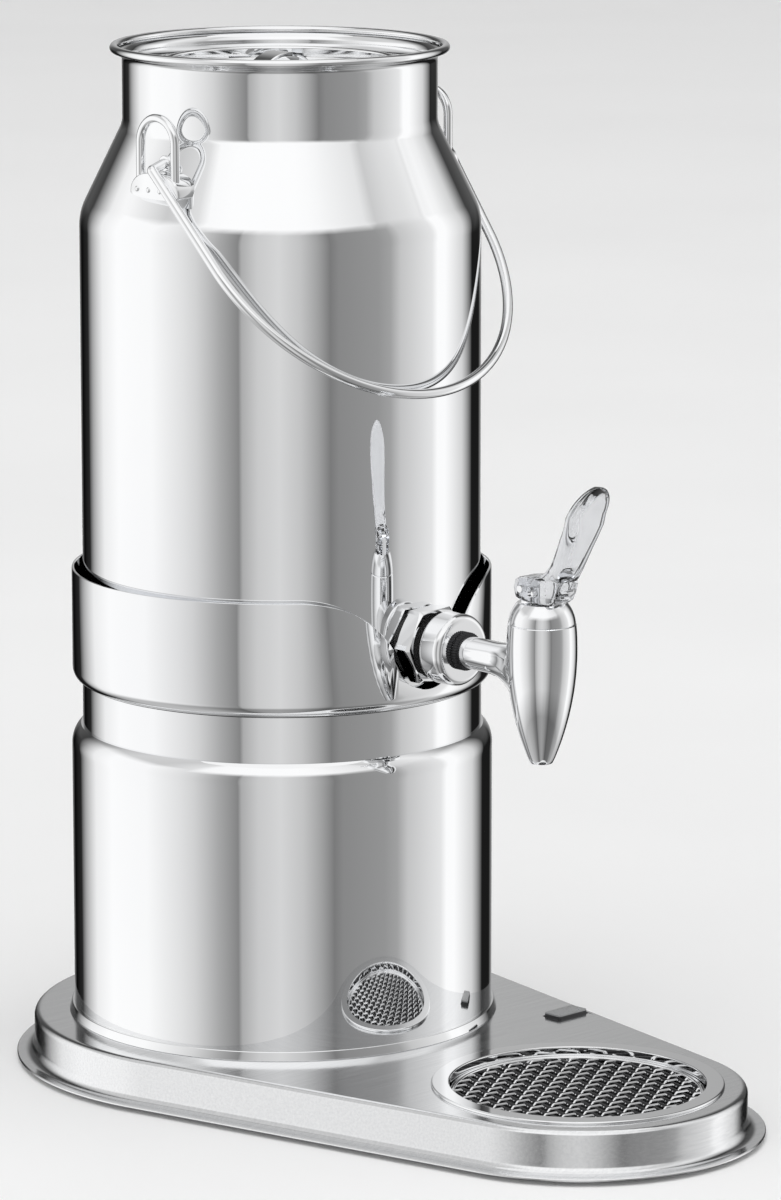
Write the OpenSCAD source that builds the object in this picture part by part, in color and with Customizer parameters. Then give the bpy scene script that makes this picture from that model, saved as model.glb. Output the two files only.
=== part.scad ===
// Chilled milk dispenser: a steel can with a tap stands on a cooled housing over a drip pan.
// Millimetres. The table is z = 0, the tap points along -Y, the origin is the middle of the pan.

/* [Base pan] */
// radius of the pan's skirt round the can axis
base_r = 113.5; // [112:0.5:118]
// radius of the pan's nose round the drip tray
nose_r = 74; // [73:0.5:80]
// distance from the can axis to the drip tray axis
nose_reach = 186; // [180:1:192]
// height of the pan's top face above the table
plate_z = 22; // [21.5:0.5:25]
// sheet thickness of the pan
pan_t = 1.2; // [1:0.1:1.5]
// outside radius of the rolled top edge
edge_round = 3; // [2:0.5:4]
// outside radius of the flare at the skirt's foot
flare_round = 4.5; // [3:0.5:5]
// width of the flared flange outside the skirt
flange_w = 8; // [7:0.5:9]
// height of the flange's lower face above the table
foot_gap = 2; // [1.5:0.5:2.5]

/* [Drip tray] */
// outside radius of the drip cup's ring
drip_ring_r = 64; // [62:0.5:66]
// outside radius of the drip cup's wall
drip_wall_r = 57; // [55:0.5:58]
// height of the drip cup's ring above the pan
drip_ring_h = 1.2; // [1.1:0.1:2]
// depth of the grid below the ring's top
grid_sink = 3.8; // [3:0.1:5]
// wire spacing of the grid
grid_pitch = 7; // [6.6:0.1:8]
// wire radius of the grid
grid_wire_r = 0.8; // [0.7:0.05:1]

/* [Housing and collar] */
// outside radius of the housing
housing_r = 95; // [94:0.5:97]
// height of the housing's shoulder above the table
shoulder_z = 155; // [152:1:158]
// outside radius of the waist ring
waist_r = 90; // [89:0.5:91]
// height of the collar's underside above the table
collar_z = 175.5; // [174:0.5:178]
// height of the collar's top edge above the table
collar_top = 227; // [224:1:230]
// outside radius of the collar
collar_r = 94.5; // [94:0.5:96]
// sheet thickness of the housing and the collar
sheet_t = 1.2; // [1:0.1:1.5]
// half width of the vent opening
vent_a = 22.5; // [20:0.5:24]
// half height of the vent opening
vent_b = 15; // [13.5:0.5:16]
// height of the vent's middle above the table
vent_z = 100; // [96:1:104]

/* [Can] */
// outside radius of the can
can_r = 89.5; // [88:0.5:90]
// height of the can's floor above the table
can_floor = 178; // [177.5:0.5:179]
// height at which the cone starts
cone_z = 387; // [380:1:392]
// height at which the neck starts
neck_z = 427; // [422:1:430]
// outside radius of the neck
neck_r = 70; // [68:0.5:72]
// height of the rim's top above the table
rim_top = 462; // [460:1:470]
// sheet thickness of the can
can_t = 1; // [0.8:0.1:1.2]

/* [Bail and lugs] */
// half distance between the bail's legs at the pivot
bail_half = 91.5; // [91.2:0.1:93]
// radius of the bail's round middle
bail_r = 84.5; // [83.5:0.5:85]
// splay of the bail's legs
bail_splay = 7.5; // [7:0.1:8]
// wire radius of the bail
bail_wire = 2.25; // [2:0.05:2.4]
// tilt of the resting bail from straight down
bail_tilt = 41; // [40:0.5:44]
// height of the bail's pivot above the table
bail_z = 416; // [415.5:0.5:418]
// how far the bail's pivot lies in front of the can axis
bail_fore = 11; // [10:0.5:12]

/* [Tap] */
// height of the tap's axis above the table
tap_z = 204; // [202:0.5:206]
// distance from the can axis to the spout axis
spout_reach = 163; // [161:1:166]
// greatest radius of the spout body
spout_r = 15.4; // [14.8:0.1:16]
// height of the spout's tip above the table
spout_tip = 161.5; // [158:0.5:166]
// height of the seam between spout and bonnet
seam_z = 223.3; // [222:0.1:224]
// height of the bonnet's top
bonnet_top = 232.5; // [232:0.1:233.5]
// radius of the coupling nut
nut_r = 16; // [15:0.5:17]
// lever pivot behind the spout axis
pivot_back = 6.5; // [6:0.1:7]
// height of the lever's pivot above the bonnet
pivot_rise = 5.8; // [5.7:0.1:6.2]
// height of the lever's top above the table
lever_top = 287; // [284:1:290]

/* [Button] */
// width of the power button
button_w = 18.4; // [16:0.2:19]
// depth of the power button
button_d = 10; // [9:0.2:11]
// height of the button above the pan
button_h = 2; // [1.8:0.1:2.5]
// distance of the button's middle in from the pan's edge
button_in = 14.8; // [13.8:0.1:17.8]
// distance of the button in front of the can axis
button_fore = 103; // [100:0.5:105]

/* [Build] */
// which sub-part to draw

/* [Hidden] */
$fn = 64;
seat_gap = 0.05;
slide_gap = 0.3;
run_gap = 0.08;
cut = 1;

can_y = (nose_reach + nose_r - base_r) / 2;
nose_y = can_y - nose_reach;
tangent_turn = asin((base_r - nose_r) / nose_reach);
tangent_len = nose_reach * cos(tangent_turn);
turn_past = 5;
strip_w = 20;
seam_half = 0.1;
bridge_in = 0.4;
plate_under = plate_z - pan_t;
flare_z = foot_gap + pan_t + flare_round;

cover_t = 1.5;
cover_z = 4.4;
cover_top = cover_z + cover_t;
cover_in = pan_t + 1.3;
intake_r = 30;
slot_pitch = 8;
foot_r = 7.5;
screw_r = 1.5;
screw_head_r = 3;
screw_head_h = 2;
post_r = 4;
foot_back_r = base_r - 15.8;
foot_side_r = base_r - 19.9;
foot_nose_r = nose_r - 10;
foot_spots = [for (s = [1, -1]) each [
    [s * foot_back_r * cos(42.5), can_y + foot_back_r * sin(42.5)],
    [s * foot_side_r * cos(20), can_y - foot_side_r * sin(20)],
    [s * foot_nose_r * sin(42), nose_y - foot_nose_r * cos(42)]]];
// the housing's screws stand between the feet
screw_turns = [10 : 90 : 280];
button_x = (base_r - button_fore * sin(tangent_turn)) / cos(tangent_turn) - button_in;

drip_top = plate_z + drip_ring_h;
drip_floor = cover_top + 1.2;
drip_t = 1;
ledge_w = 3;
grid_top = drip_top - grid_sink;
grid_skirt = 0.15;
grid_h = 4 * grid_wire_r + 0.1 + 2 * grid_skirt;
grid_z = grid_top - grid_h;
grid_r = drip_wall_r - drip_t - slide_gap;
grid_rim = 2.4;

housing_in = housing_r - sheet_t;
shoulder_arc = 12;
lip_r = 60;
trim_r = housing_r + 2.5;
trim_h = 4;
oval_sides = 48;
bezel_w = 2;
bezel_h = 2.2;
mesh_pitch = 4;
mesh_r = 0.55;
mesh_skin = housing_r + 0.6;

notch_r = 20.2;
notch_half = 61;
notch_drop = collar_top - tap_z;
notch_lap = 3;
notch_arc = (pow(notch_half - notch_r, 2) + pow(notch_drop, 2)) / (2 * notch_drop);
collar_round = 6;
collar_floor_in = 87.5;

cold_r = 85.5;
cold_t = 6;
cold_z = can_floor - cold_t;
insul_r = waist_r - sheet_t - slide_gap;
module_w = 40;
module_t = 4;
module_z = shoulder_z - 9;
sink_w = 100;
sink_base = 6;
sink_fin = 30;
sink_z = module_z - sink_base - sink_fin;
fin_t = 2;
fin_count = 11;
pillar_w = 9;
fan_w = 92;
fan_h = 25;
fan_z = sink_z - fan_h;
fan_hole = 41.25;
fan_bore = 44;
fan_hub = 18;
blade_count = 7;
board_z = plate_z + 8;
board_w = 44;
board_d = 32;
board_corner_r = housing_in - 14.6;
board_x = -board_corner_r * cos(43) - 4;
board_y = board_corner_r * sin(43) + 4 - board_d;
inlet_z = 42;
inlet_r = 6;

can_in = can_r - can_t;
bead_r = 1.9;
flare_r = 4.5;
bead_z = rim_top - bead_r;
stop_z = rim_top - 10.5;
stop_t = 1;
stop_w = 2.6;
neck_in = neck_r - can_t;
lid_r = neck_in - 0.5;
lid_t = 1;
seal_t = 1.5;
lid_z = stop_z + stop_t + seal_t;
dish_r = 52;
dish_drop = 5.5;
dish_floor = lid_z - dish_drop;
strap_half = 22;
strap_w = 11;
strap_t = 1.6;
strap_rise = 8.5;

lug_x = 83.5;
lug_wire = 2;
lug_half = 11;
lug_top = 438;
lug_low = 398;
lug_block = 10;
lug_moon_r = 18;
bail_foot = (bail_half - bail_r * cos(bail_splay)) / tan(bail_splay);
bail_mid = bail_foot - bail_r * sin(bail_splay);
swell = 0.15;
pin_end = lug_x - lug_wire - 1.5;

shank_r = 8.5;
shank_bore = 5;
flange_face = can_r + 9.5;
washer_r = 18;
hex_r = 18.5;
nut_back = flange_face + 3.5;
nut_front = nut_back + 13;
collet_r = 9.5;
collet_l = 3;
tube_r = 7;
spout_y = can_y - spout_reach;
spout_arc = 125;
belly_z = 211.5;
chamber_r = 8;
chamber_z = 195;
outlet_r = 4;
stem_r = 2.2;
stem_low = chamber_z + 3;
stem_collar_z = 211;
bonnet_arc = 16;
bonnet_in = 3;
spring_r = 5.2;
spring_wire = 0.75;
spring_turns = 10;
pivot_y = spout_y + pivot_back;
pivot_z = bonnet_top + pivot_rise;
eye_r = 5.4;
tongue_w = 5;
tongue_eye = 3.6;
lever_w = 15;
lever_slot = tongue_w + 0.6;
pin_r = 1.5;
stem_pin_r = 1.2;
stem_pin_z = pivot_z - 1.45;
stem_pin_play = 0.4;
paddle_r = 11.5;
blade_half = 2.6;

switch_w = 20;
switch_d = 12;
switch_z = cover_top + 1.6;
button_gap = 0.25;

steel = [0.80, 0.81, 0.83];
brushed = [0.72, 0.73, 0.75];
dark = [0.08, 0.08, 0.09];
rubber = [0.05, 0.05, 0.05];
clear = [0.90, 0.94, 0.96, 0.4];
alloy = [0.70, 0.71, 0.73];
foam = [0.86, 0.86, 0.84];
green = [0.10, 0.34, 0.20];
white = [0.92, 0.92, 0.90];

// Shared helpers

module at_can() {
    translate([0, can_y, 0]) children();
}

module at_nose() {
    translate([0, nose_y, 0]) children();
}

// children drawn along +Z run along the tap's axis from distance d off the can axis
module at_tap(d) {
    translate([0, can_y - d, tap_z]) rotate([90, 0, 0]) children();
}

module at_spout() {
    translate([0, spout_y, 0]) children();
}

module both_sides() {
    children();
    mirror([1, 0, 0]) children();
}

module tube(outer, inner, h) {
    difference() {
        cylinder(r = outer, h = h);
        translate([0, 0, -cut]) cylinder(r = inner, h = h + 2 * cut);
    }
}

// straight-sided middle of the pan's plan, grown by d
module bridge(d) {
    n = [cos(tangent_turn), -sin(tangent_turn)];
    polygon([[0, can_y], [(base_r + d) * n[0], can_y + (base_r + d) * n[1]],
             [(nose_r + d) * n[0], nose_y + (nose_r + d) * n[1]], [0, nose_y],
             [-(nose_r + d) * n[0], nose_y + (nose_r + d) * n[1]],
             [-(base_r + d) * n[0], can_y + (base_r + d) * n[1]]]);
}

// flat slab with about the pan's plan, its bridge set a little inside the tangents
module plan_slab(d, t) {
    at_can() cylinder(r = base_r + d, h = t);
    at_nose() cylinder(r = nose_r + d, h = t);
    linear_extrude(t) bridge(d - bridge_in);
}

// rolled edge, skirt and flared flange of the pan, with the deck reaching inwards
module pan_section(reach) {
    intersection() {
        translate([-edge_round, plate_z - edge_round]) difference() {
            circle(r = edge_round);
            circle(r = edge_round - pan_t);
        }
        translate([-edge_round, plate_z - edge_round]) square([edge_round + cut, edge_round + cut]);
    }
    translate([-reach, plate_under]) square([reach - edge_round, pan_t]);
    translate([-pan_t, flare_z]) square([pan_t, plate_z - edge_round - flare_z]);
    intersection() {
        translate([flare_round, flare_z]) difference() {
            circle(r = flare_round + pan_t);
            circle(r = flare_round);
        }
        translate([-pan_t - cut, flare_z - flare_round - pan_t - cut])
            square([flare_round + pan_t + cut, flare_round + pan_t + cut]);
    }
    translate([flare_round, foot_gap]) square([flange_w - flare_round, pan_t]);
}

// one half of the pan, turned about the can so that its straight side runs along y
module turned_pan() {
    rotate_extrude(angle = 90 + tangent_turn + turn_past) translate([base_r, 0]) pan_section(base_r);
    translate([base_r, 0, 0]) rotate([90, 0, 0]) linear_extrude(tangent_len) pan_section(strip_w);
    translate([base_r - nose_r, -tangent_len, 0]) mirror([0, 1, 0])
        rotate_extrude(angle = 90 - tangent_turn + turn_past) translate([nose_r, 0]) pan_section(nose_r);
    translate([0, 0, plate_under]) linear_extrude(pan_t)
        polygon([[-strip_w, 0], [base_r - strip_w, 0], [base_r - strip_w, -tangent_len],
                 [base_r - nose_r - strip_w, -tangent_len]]);
}

// half of the pan in its place, up to the seam
module half_pan() {
    reach = nose_reach + base_r;
    intersection() {
        at_can() rotate([0, 0, -tangent_turn]) turned_pan();
        translate([seam_half, -reach, 0]) cube([reach, 2 * reach, 2 * plate_z]);
    }
}

// oval of the vent, grown by d
module oval(d) {
    polygon([for (i = [0 : oval_sides - 1])
        [(vent_a + d) * cos(i * 360 / oval_sides), (vent_b + d) * sin(i * 360 / oval_sides)]]);
}

// prism of the vent's oval through the housing wall at the given turn and height
module vent_prism(turn, z, d) {
    at_can() rotate([0, 0, turn]) translate([0, 0, z]) rotate([90, 0, 0])
        translate([0, 0, housing_r / 2]) linear_extrude(housing_r) oval(d);
}

module vent_ring(turn, z) {
    intersection() {
        difference() {
            vent_prism(turn, z, bezel_w);
            vent_prism(turn, z, -bezel_w / 2);
        }
        at_can() translate([0, 0, z - vent_b - 2 * bezel_w])
            tube(housing_r + bezel_h, housing_r + seat_gap, 2 * vent_b + 4 * bezel_w);
    }
}

// thin curved skin with square gaps, kept clear of its edge
module vent_mesh(turn, z) {
    rows = floor(vent_b / mesh_pitch);
    cols = floor(vent_a / mesh_pitch);
    gap = mesh_pitch - 2 * mesh_r;
    step = mesh_pitch / mesh_skin * 180 / PI;
    edge = bezel_w / 2 + 0.8;
    difference() {
        intersection() {
            vent_prism(turn, z, -bezel_w / 2 - seat_gap);
            at_can() translate([0, 0, z - 2 * vent_b])
                tube(mesh_skin + mesh_r, mesh_skin - mesh_r, 4 * vent_b);
        }
        for (i = [-rows : rows], j = [-cols : cols])
            if (pow((abs(j) + 0.5) * mesh_pitch / (vent_a - edge), 2)
                + pow((abs(i) + 0.5) * mesh_pitch / (vent_b - edge), 2) < 1)
                at_can() rotate([0, 0, turn + j * step])
                    translate([-gap / 2, -mesh_skin - 3, z + i * mesh_pitch - gap / 2]) cube([gap, 6, gap]);
    }
}

// pan-head screw standing on its head
module screw(len) {
    cylinder(r = screw_head_r, h = screw_head_h);
    cylinder(r = screw_r, h = screw_head_h + len);
}

// Base

module base_plate() {
    color(brushed) difference() {
        union() {
            both_sides() half_pan();
            translate([-strip_w / 2, nose_y, plate_under])
                cube([strip_w, nose_reach + base_r - edge_round - 3, pan_t]);
        }
        at_nose() translate([0, 0, plate_under - cut]) cylinder(r = drip_wall_r + slide_gap, h = pan_t + 2 * cut);
        at_can() translate([button_x, -button_fore, plate_z])
            cube([button_w + 1, button_d + 1, 4 * pan_t], center = true);
        at_can() translate([0, 0, plate_under - cut]) cylinder(r = intake_r, h = pan_t + 2 * cut);
        for (a = screw_turns)
            at_can() rotate([0, 0, a]) translate([housing_in - 7, 0, plate_under - cut])
                cylinder(r = screw_r + run_gap, h = pan_t + 2 * cut);
    }
}

module bottom_cover() {
    color(dark) difference() {
        translate([0, 0, cover_z]) plan_slab(-cover_in, cover_t);
        for (p = foot_spots)
            translate([p[0], p[1], cover_z - cut]) cylinder(r = screw_r + run_gap, h = cover_t + 2 * cut);
        for (i = [-3 : 3])
            at_can() translate([i * slot_pitch, 0, cover_z])
                cube([slot_pitch / 2, 2 * sqrt(pow(intake_r, 2) - pow(i * slot_pitch, 2)), 4 * cover_t], center = true);
    }
}

module rubber_feet() {
    color(rubber) for (p = foot_spots)
        translate([p[0], p[1], 0]) difference() {
            cylinder(r = foot_r, h = cover_z);
            translate([0, 0, -cut]) cylinder(r = screw_head_r + slide_gap, h = cut + 2.4);
            translate([0, 0, -cut]) cylinder(r = screw_r + run_gap, h = cover_z + 2 * cut);
        }
}

module foot_screws() {
    color(steel) for (p = foot_spots)
        translate([p[0], p[1], 2.4 - screw_head_h]) screw(12);
}

module spacer_posts() {
    color(alloy) for (p = foot_spots)
        translate([p[0], p[1], cover_top]) difference() {
            cylinder(r = post_r, h = plate_under - cover_top);
            translate([0, 0, -cut]) cylinder(r = screw_r + run_gap, h = 11 + cut);
        }
}

// Housing

module housing_section() {
    difference() {
        union() {
            translate([0, plate_z]) square([housing_r, shoulder_z - plate_z - 9]);
            intersection() {
                translate([housing_r - shoulder_arc, shoulder_z - 9]) circle(r = shoulder_arc);
                translate([housing_r - shoulder_arc, shoulder_z - 9 - cut]) square([shoulder_arc, 9 + cut]);
            }
            translate([0, shoulder_z - 9 - cut]) square([housing_r - shoulder_arc, 9 + cut]);
        }
        translate([-cut, plate_z - cut]) square([housing_in - 10 + cut, sheet_t + 2 * cut]);
        translate([-cut, plate_z + sheet_t]) square([housing_in + cut, shoulder_z - 9 - plate_z - sheet_t]);
        intersection() {
            translate([housing_r - shoulder_arc, shoulder_z - 9]) circle(r = shoulder_arc - sheet_t);
            translate([housing_r - shoulder_arc, shoulder_z - 9 - cut])
                square([shoulder_arc, 9 + cut - sheet_t]);
        }
        translate([-cut, shoulder_z - 9 - cut]) square([housing_r - shoulder_arc + cut, 9 + cut - sheet_t]);
        translate([-cut, shoulder_z - 2 * sheet_t]) square([lip_r + cut, 4 * sheet_t]);
    }
}

module housing_shell() {
    color(steel) difference() {
        at_can() rotate_extrude() housing_section();
        vent_prism(180, vent_z, -slide_gap);
        at_can() translate([0, housing_r - 10, inlet_z]) rotate([-90, 0, 0])
            cylinder(r = inlet_r + run_gap, h = 20);
        for (a = screw_turns)
            at_can() rotate([0, 0, a]) translate([housing_in - 7, 0, plate_z - cut])
                cylinder(r = screw_r + run_gap, h = sheet_t + 2 * cut);
        for (x = [-45, 45], y = [-45, 45])
            at_can() translate([x, y, shoulder_z - 2 * sheet_t])
                cylinder(r = screw_r + run_gap, h = 4 * sheet_t);
    }
}

// screws from below with a hex nut on the housing's foot flange
module housing_screws() {
    color(alloy) for (a = screw_turns)
        at_can() rotate([0, 0, a]) translate([housing_in - 7, 0, plate_under - screw_head_h]) {
            screw(pan_t + sheet_t + 4);
            translate([0, 0, screw_head_h + pan_t + sheet_t]) cylinder(r = 3, h = 2.4, $fn = 6);
        }
}

module housing_trim() {
    color(steel) at_can() translate([0, 0, plate_z]) rotate_extrude() intersection() {
        union() {
            translate([housing_r + seat_gap, 0]) square([trim_r - housing_r - seat_gap, trim_h - 1.2]);
            translate([trim_r - 1.2, trim_h - 1.2]) circle(r = 1.2);
            translate([housing_r + seat_gap, 0]) square([trim_r - 1.2 - housing_r - seat_gap, trim_h]);
        }
        translate([housing_r + seat_gap, 0]) square([trim_r, trim_h]);
    }
}

module waist_ring() {
    color(steel) at_can() translate([0, 0, shoulder_z])
        tube(waist_r, waist_r - sheet_t, collar_z - shoulder_z);
}

module notch_shape() {
    difference() {
        translate([-notch_half, tap_z - notch_lap]) square([2 * notch_half, notch_drop + notch_lap + cut]);
        both_sides() translate([notch_half, collar_top - notch_arc]) circle(r = notch_arc);
    }
    translate([0, tap_z]) circle(r = notch_r);
}

module collar_section() {
    translate([collar_r - sheet_t, collar_z + collar_round]) square([sheet_t, collar_top - collar_z - collar_round]);
    intersection() {
        translate([collar_r - collar_round, collar_z + collar_round]) difference() {
            circle(r = collar_round);
            circle(r = collar_round - sheet_t);
        }
        translate([collar_r - collar_round, collar_z]) square([collar_round + cut, collar_round]);
    }
    translate([collar_floor_in, collar_z]) square([collar_r - collar_round - collar_floor_in, sheet_t]);
}

module collar_cup() {
    color(steel) difference() {
        at_can() rotate_extrude() collar_section();
        at_can() rotate([90, 0, 0]) linear_extrude(2 * collar_r) notch_shape();
    }
}

// Cooling unit

module cold_plate() {
    color(alloy) at_can() {
        translate([0, 0, cold_z]) cylinder(r = cold_r, h = cold_t);
        translate([-module_w / 2, -module_w / 2, module_z + module_t])
            cube([module_w, module_w, cold_z - module_z - module_t + cut]);
    }
}

module insulation_ring() {
    w = module_w + 2 * slide_gap;
    color(foam) at_can() difference() {
        translate([0, 0, shoulder_z]) cylinder(r = insul_r, h = cold_z - shoulder_z);
        translate([-w / 2, -w / 2, shoulder_z - cut]) cube([w, w, cold_z - shoulder_z + 2 * cut]);
        for (x = [-45, 45], y = [-45, 45])
            translate([x, y, shoulder_z - cut]) cylinder(r = screw_head_r + slide_gap, h = screw_head_h + cut + slide_gap);
    }
}

module peltier_module() {
    color(white) at_can() translate([-module_w / 2, -module_w / 2, module_z])
        cube([module_w, module_w, module_t]);
}

module heat_sink() {
    step = (sink_w - fin_t) / (fin_count - 1);
    color(alloy) at_can() difference() {
        union() {
            translate([-sink_w / 2, -sink_w / 2, module_z - sink_base]) cube([sink_w, sink_w, sink_base]);
            for (i = [0 : fin_count - 1])
                translate([-sink_w / 2 + i * step, -sink_w / 2, sink_z]) cube([fin_t, sink_w, sink_fin + cut]);
            for (x = [-fan_hole, fan_hole], y = [-fan_hole, fan_hole])
                translate([x - pillar_w / 2, y - pillar_w / 2, sink_z]) cube([pillar_w, pillar_w, sink_fin + cut]);
        }
        for (x = [-fan_hole, fan_hole], y = [-fan_hole, fan_hole])
            translate([x, y, sink_z - cut]) cylinder(r = screw_r + run_gap, h = 15 + cut);
        for (x = [-45, 45], y = [-45, 45])
            translate([x, y, module_z - 5]) cylinder(r = screw_r + run_gap, h = 10);
    }
}

// four screws from the housing's lip into the heat sink, each in its sleeve
module sink_posts() {
    color(alloy) at_can() for (x = [-45, 45], y = [-45, 45]) {
        translate([x, y, module_z]) cylinder(r = post_r, h = shoulder_z - sheet_t - module_z);
        translate([x, y, module_z - 4.5]) cylinder(r = screw_r, h = shoulder_z + 4.5 - module_z);
        translate([x, y, shoulder_z]) cylinder(r = screw_head_r, h = screw_head_h);
    }
}

module fan_frame() {
    color(dark) at_can() difference() {
        union() {
            difference() {
                translate([-fan_w / 2, -fan_w / 2, fan_z]) cube([fan_w, fan_w, fan_h]);
                translate([0, 0, fan_z - cut]) cylinder(r = fan_bore, h = fan_h + 2 * cut);
            }
            translate([0, 0, fan_z]) cylinder(r = fan_hub, h = 3);
            for (a = [0 : 120 : 240])
                rotate([0, 0, a + 30]) translate([0, -2, fan_z]) cube([fan_bore + cut, 4, 3]);
        }
        for (x = [-fan_hole, fan_hole], y = [-fan_hole, fan_hole])
            translate([x, y, fan_z - cut]) cylinder(r = screw_r + run_gap, h = fan_h + 2 * cut);
        translate([0, 0, fan_z + 1]) cylinder(r = 2 + run_gap, h = 3);
    }
}

module fan_screws() {
    color(steel) at_can() for (x = [-fan_hole, fan_hole], y = [-fan_hole, fan_hole])
        translate([x, y, fan_z - screw_head_h]) screw(fan_h + 14);
}

module fan_rotor() {
    color(dark) at_can() {
        translate([0, 0, fan_z + 4]) cylinder(r = fan_hub - 0.5, h = fan_h - 6);
        translate([0, 0, fan_z + 1.2]) cylinder(r = 2, h = 4);
        for (i = [0 : blade_count - 1])
            rotate([0, 0, i * 360 / blade_count]) translate([fan_hub - 2, 0, fan_z + fan_h / 2 + 1])
                rotate([35, 0, 0]) translate([0, -11, -0.8]) cube([fan_bore - fan_hub + 0.5, 22, 1.6]);
    }
}

module control_board() {
    color(green) at_can() translate([board_x, board_y, board_z]) {
        cube([board_w, board_d, 1.6]);
        translate([5, 5, 1.6]) cube([12, 12, 9]);
        translate([22, 5, 1.6]) cube([16, 9, 5]);
        translate([9, 25, 1.6]) cylinder(r = 3.5, h = 12);
        translate([19, 25, 1.6]) cylinder(r = 3.5, h = 12);
        translate([28, 19, 1.6]) cube([11, 9, 7]);
    }
}

module board_posts() {
    color(alloy) at_can() for (x = [4, board_w - 4], y = [4, board_d - 4])
        translate([board_x + x, board_y + y, plate_z]) cylinder(r = 2.5, h = board_z - plate_z);
}

// panel socket for a low-voltage lead, with its centre pin
module power_inlet() {
    color(dark) at_can() translate([0, housing_in - 14, inlet_z]) rotate([-90, 0, 0]) {
        difference() {
            union() {
                cylinder(r = inlet_r, h = 14 + sheet_t + 2.5);
                translate([0, 0, 14 + sheet_t + seat_gap]) cylinder(r = inlet_r + 2.5, h = 2.5 - seat_gap);
            }
            translate([0, 0, 6]) cylinder(r = 3.2, h = 20);
        }
        cylinder(r = 1.1, h = 15);
    }
}

module inlet_nut() {
    color(alloy) at_can() translate([0, housing_in - 4.4, inlet_z]) rotate([-90, 0, 0]) difference() {
        cylinder(r = 9, h = 3.4, $fn = 6);
        translate([0, 0, -cut]) cylinder(r = inlet_r + run_gap, h = 6);
    }
}

module rear_vent_ring() {
    color(steel) vent_ring(180, vent_z);
}

module rear_vent_mesh() {
    color(steel) vent_mesh(180, vent_z);
}

// Button

module button_frame() {
    color(dark) at_can() translate([button_x, -button_fore, 0]) difference() {
        translate([0, 0, plate_z + 0.4]) cube([button_w + 2.4, button_d + 2.4, 0.8], center = true);
        translate([0, 0, plate_z]) cube([button_w + 2 * button_gap, button_d + 2 * button_gap, 4], center = true);
    }
}

module switch_body() {
    color(dark) at_can() translate([button_x, -button_fore, 0]) difference() {
        translate([-switch_w / 2, -switch_d / 2, switch_z]) cube([switch_w, switch_d, plate_under - switch_z]);
        translate([-4 - button_gap, -3 - button_gap, switch_z + 4])
            cube([8 + 2 * button_gap, 6 + 2 * button_gap, 20]);
        translate([-button_w / 2 - button_gap, -button_d / 2 - button_gap, plate_under - 2.4])
            cube([button_w + 2 * button_gap, button_d + 2 * button_gap, 4]);
    }
}

module power_button() {
    color(dark) at_can() translate([button_x, -button_fore, 0]) {
        translate([-button_w / 2, -button_d / 2, plate_under - 0.6])
            cube([button_w, button_d, plate_z + button_h - plate_under + 0.6]);
        translate([-4, -3, switch_z + 6]) cube([8, 6, plate_under - switch_z - 6]);
    }
}

// Drip tray

module drip_cup() {
    lip = 1;
    color(steel) at_nose() rotate_extrude() {
        translate([0, drip_floor]) square([drip_wall_r, drip_t]);
        translate([drip_wall_r - drip_t, drip_floor]) square([drip_t, drip_top - drip_floor]);
        translate([drip_wall_r - drip_t - ledge_w, grid_z - drip_t]) square([ledge_w + drip_t / 2, drip_t]);
        translate([drip_wall_r - drip_t, plate_z]) square([drip_ring_r - lip - drip_wall_r + drip_t, drip_ring_h]);
        translate([drip_ring_r - lip, plate_z]) intersection() {
            translate([0, drip_ring_h - lip]) circle(r = lip);
            translate([0, drip_ring_h - lip]) square([lip, lip]);
        }
        translate([drip_ring_r - lip, plate_z]) square([lip, drip_ring_h - lip]);
    }
}

// two layers of wires let into a rim
module drip_grid() {
    rim_mid = grid_r - grid_rim / 2;
    n = floor((rim_mid - 2) / grid_pitch);
    color(steel) at_nose() {
        translate([0, 0, grid_z]) tube(grid_r, grid_r - grid_rim, grid_h);
        for (i = [-n : n]) {
            half = sqrt(rim_mid * rim_mid - pow(i * grid_pitch, 2));
            translate([-half, i * grid_pitch, grid_z + grid_skirt + grid_wire_r]) rotate([0, 90, 0])
                cylinder(r = grid_wire_r, h = 2 * half);
            translate([i * grid_pitch, half, grid_top - grid_skirt - grid_wire_r]) rotate([90, 0, 0])
                cylinder(r = grid_wire_r, h = 2 * half);
        }
    }
}

// Can

// wall of the can, as a filled outline whose wall faces lie t inside the outside
module can_fill(t) {
    polygon([[0, can_floor + t], [can_r - t, can_floor + t], [can_r - t, cone_z],
             [neck_r - t, neck_z], [neck_r - t, bead_z - flare_r - 0.8], [0, bead_z - flare_r - 0.8]]);
}

module can_section() {
    difference() {
        can_fill(0);
        can_fill(can_t);
        translate([-cut, bead_z - flare_r - 2]) square([neck_in + cut, 4]);
    }
    intersection() {
        translate([neck_r + flare_r - can_t, bead_z - flare_r - 0.8]) difference() {
            circle(r = flare_r);
            circle(r = flare_r - can_t);
        }
        translate([neck_in - cut, bead_z - flare_r - 0.8]) square([flare_r + cut, flare_r + cut]);
    }
    translate([neck_r + flare_r - can_t, bead_z]) circle(r = bead_r);
    translate([neck_in - stop_w, stop_z]) square([stop_w + can_t / 2, stop_t]);
}

module can_body() {
    color(steel) difference() {
        at_can() rotate_extrude() can_section();
        at_tap(can_in - 10) cylinder(r = shank_r + run_gap, h = 20);
    }
}

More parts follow.
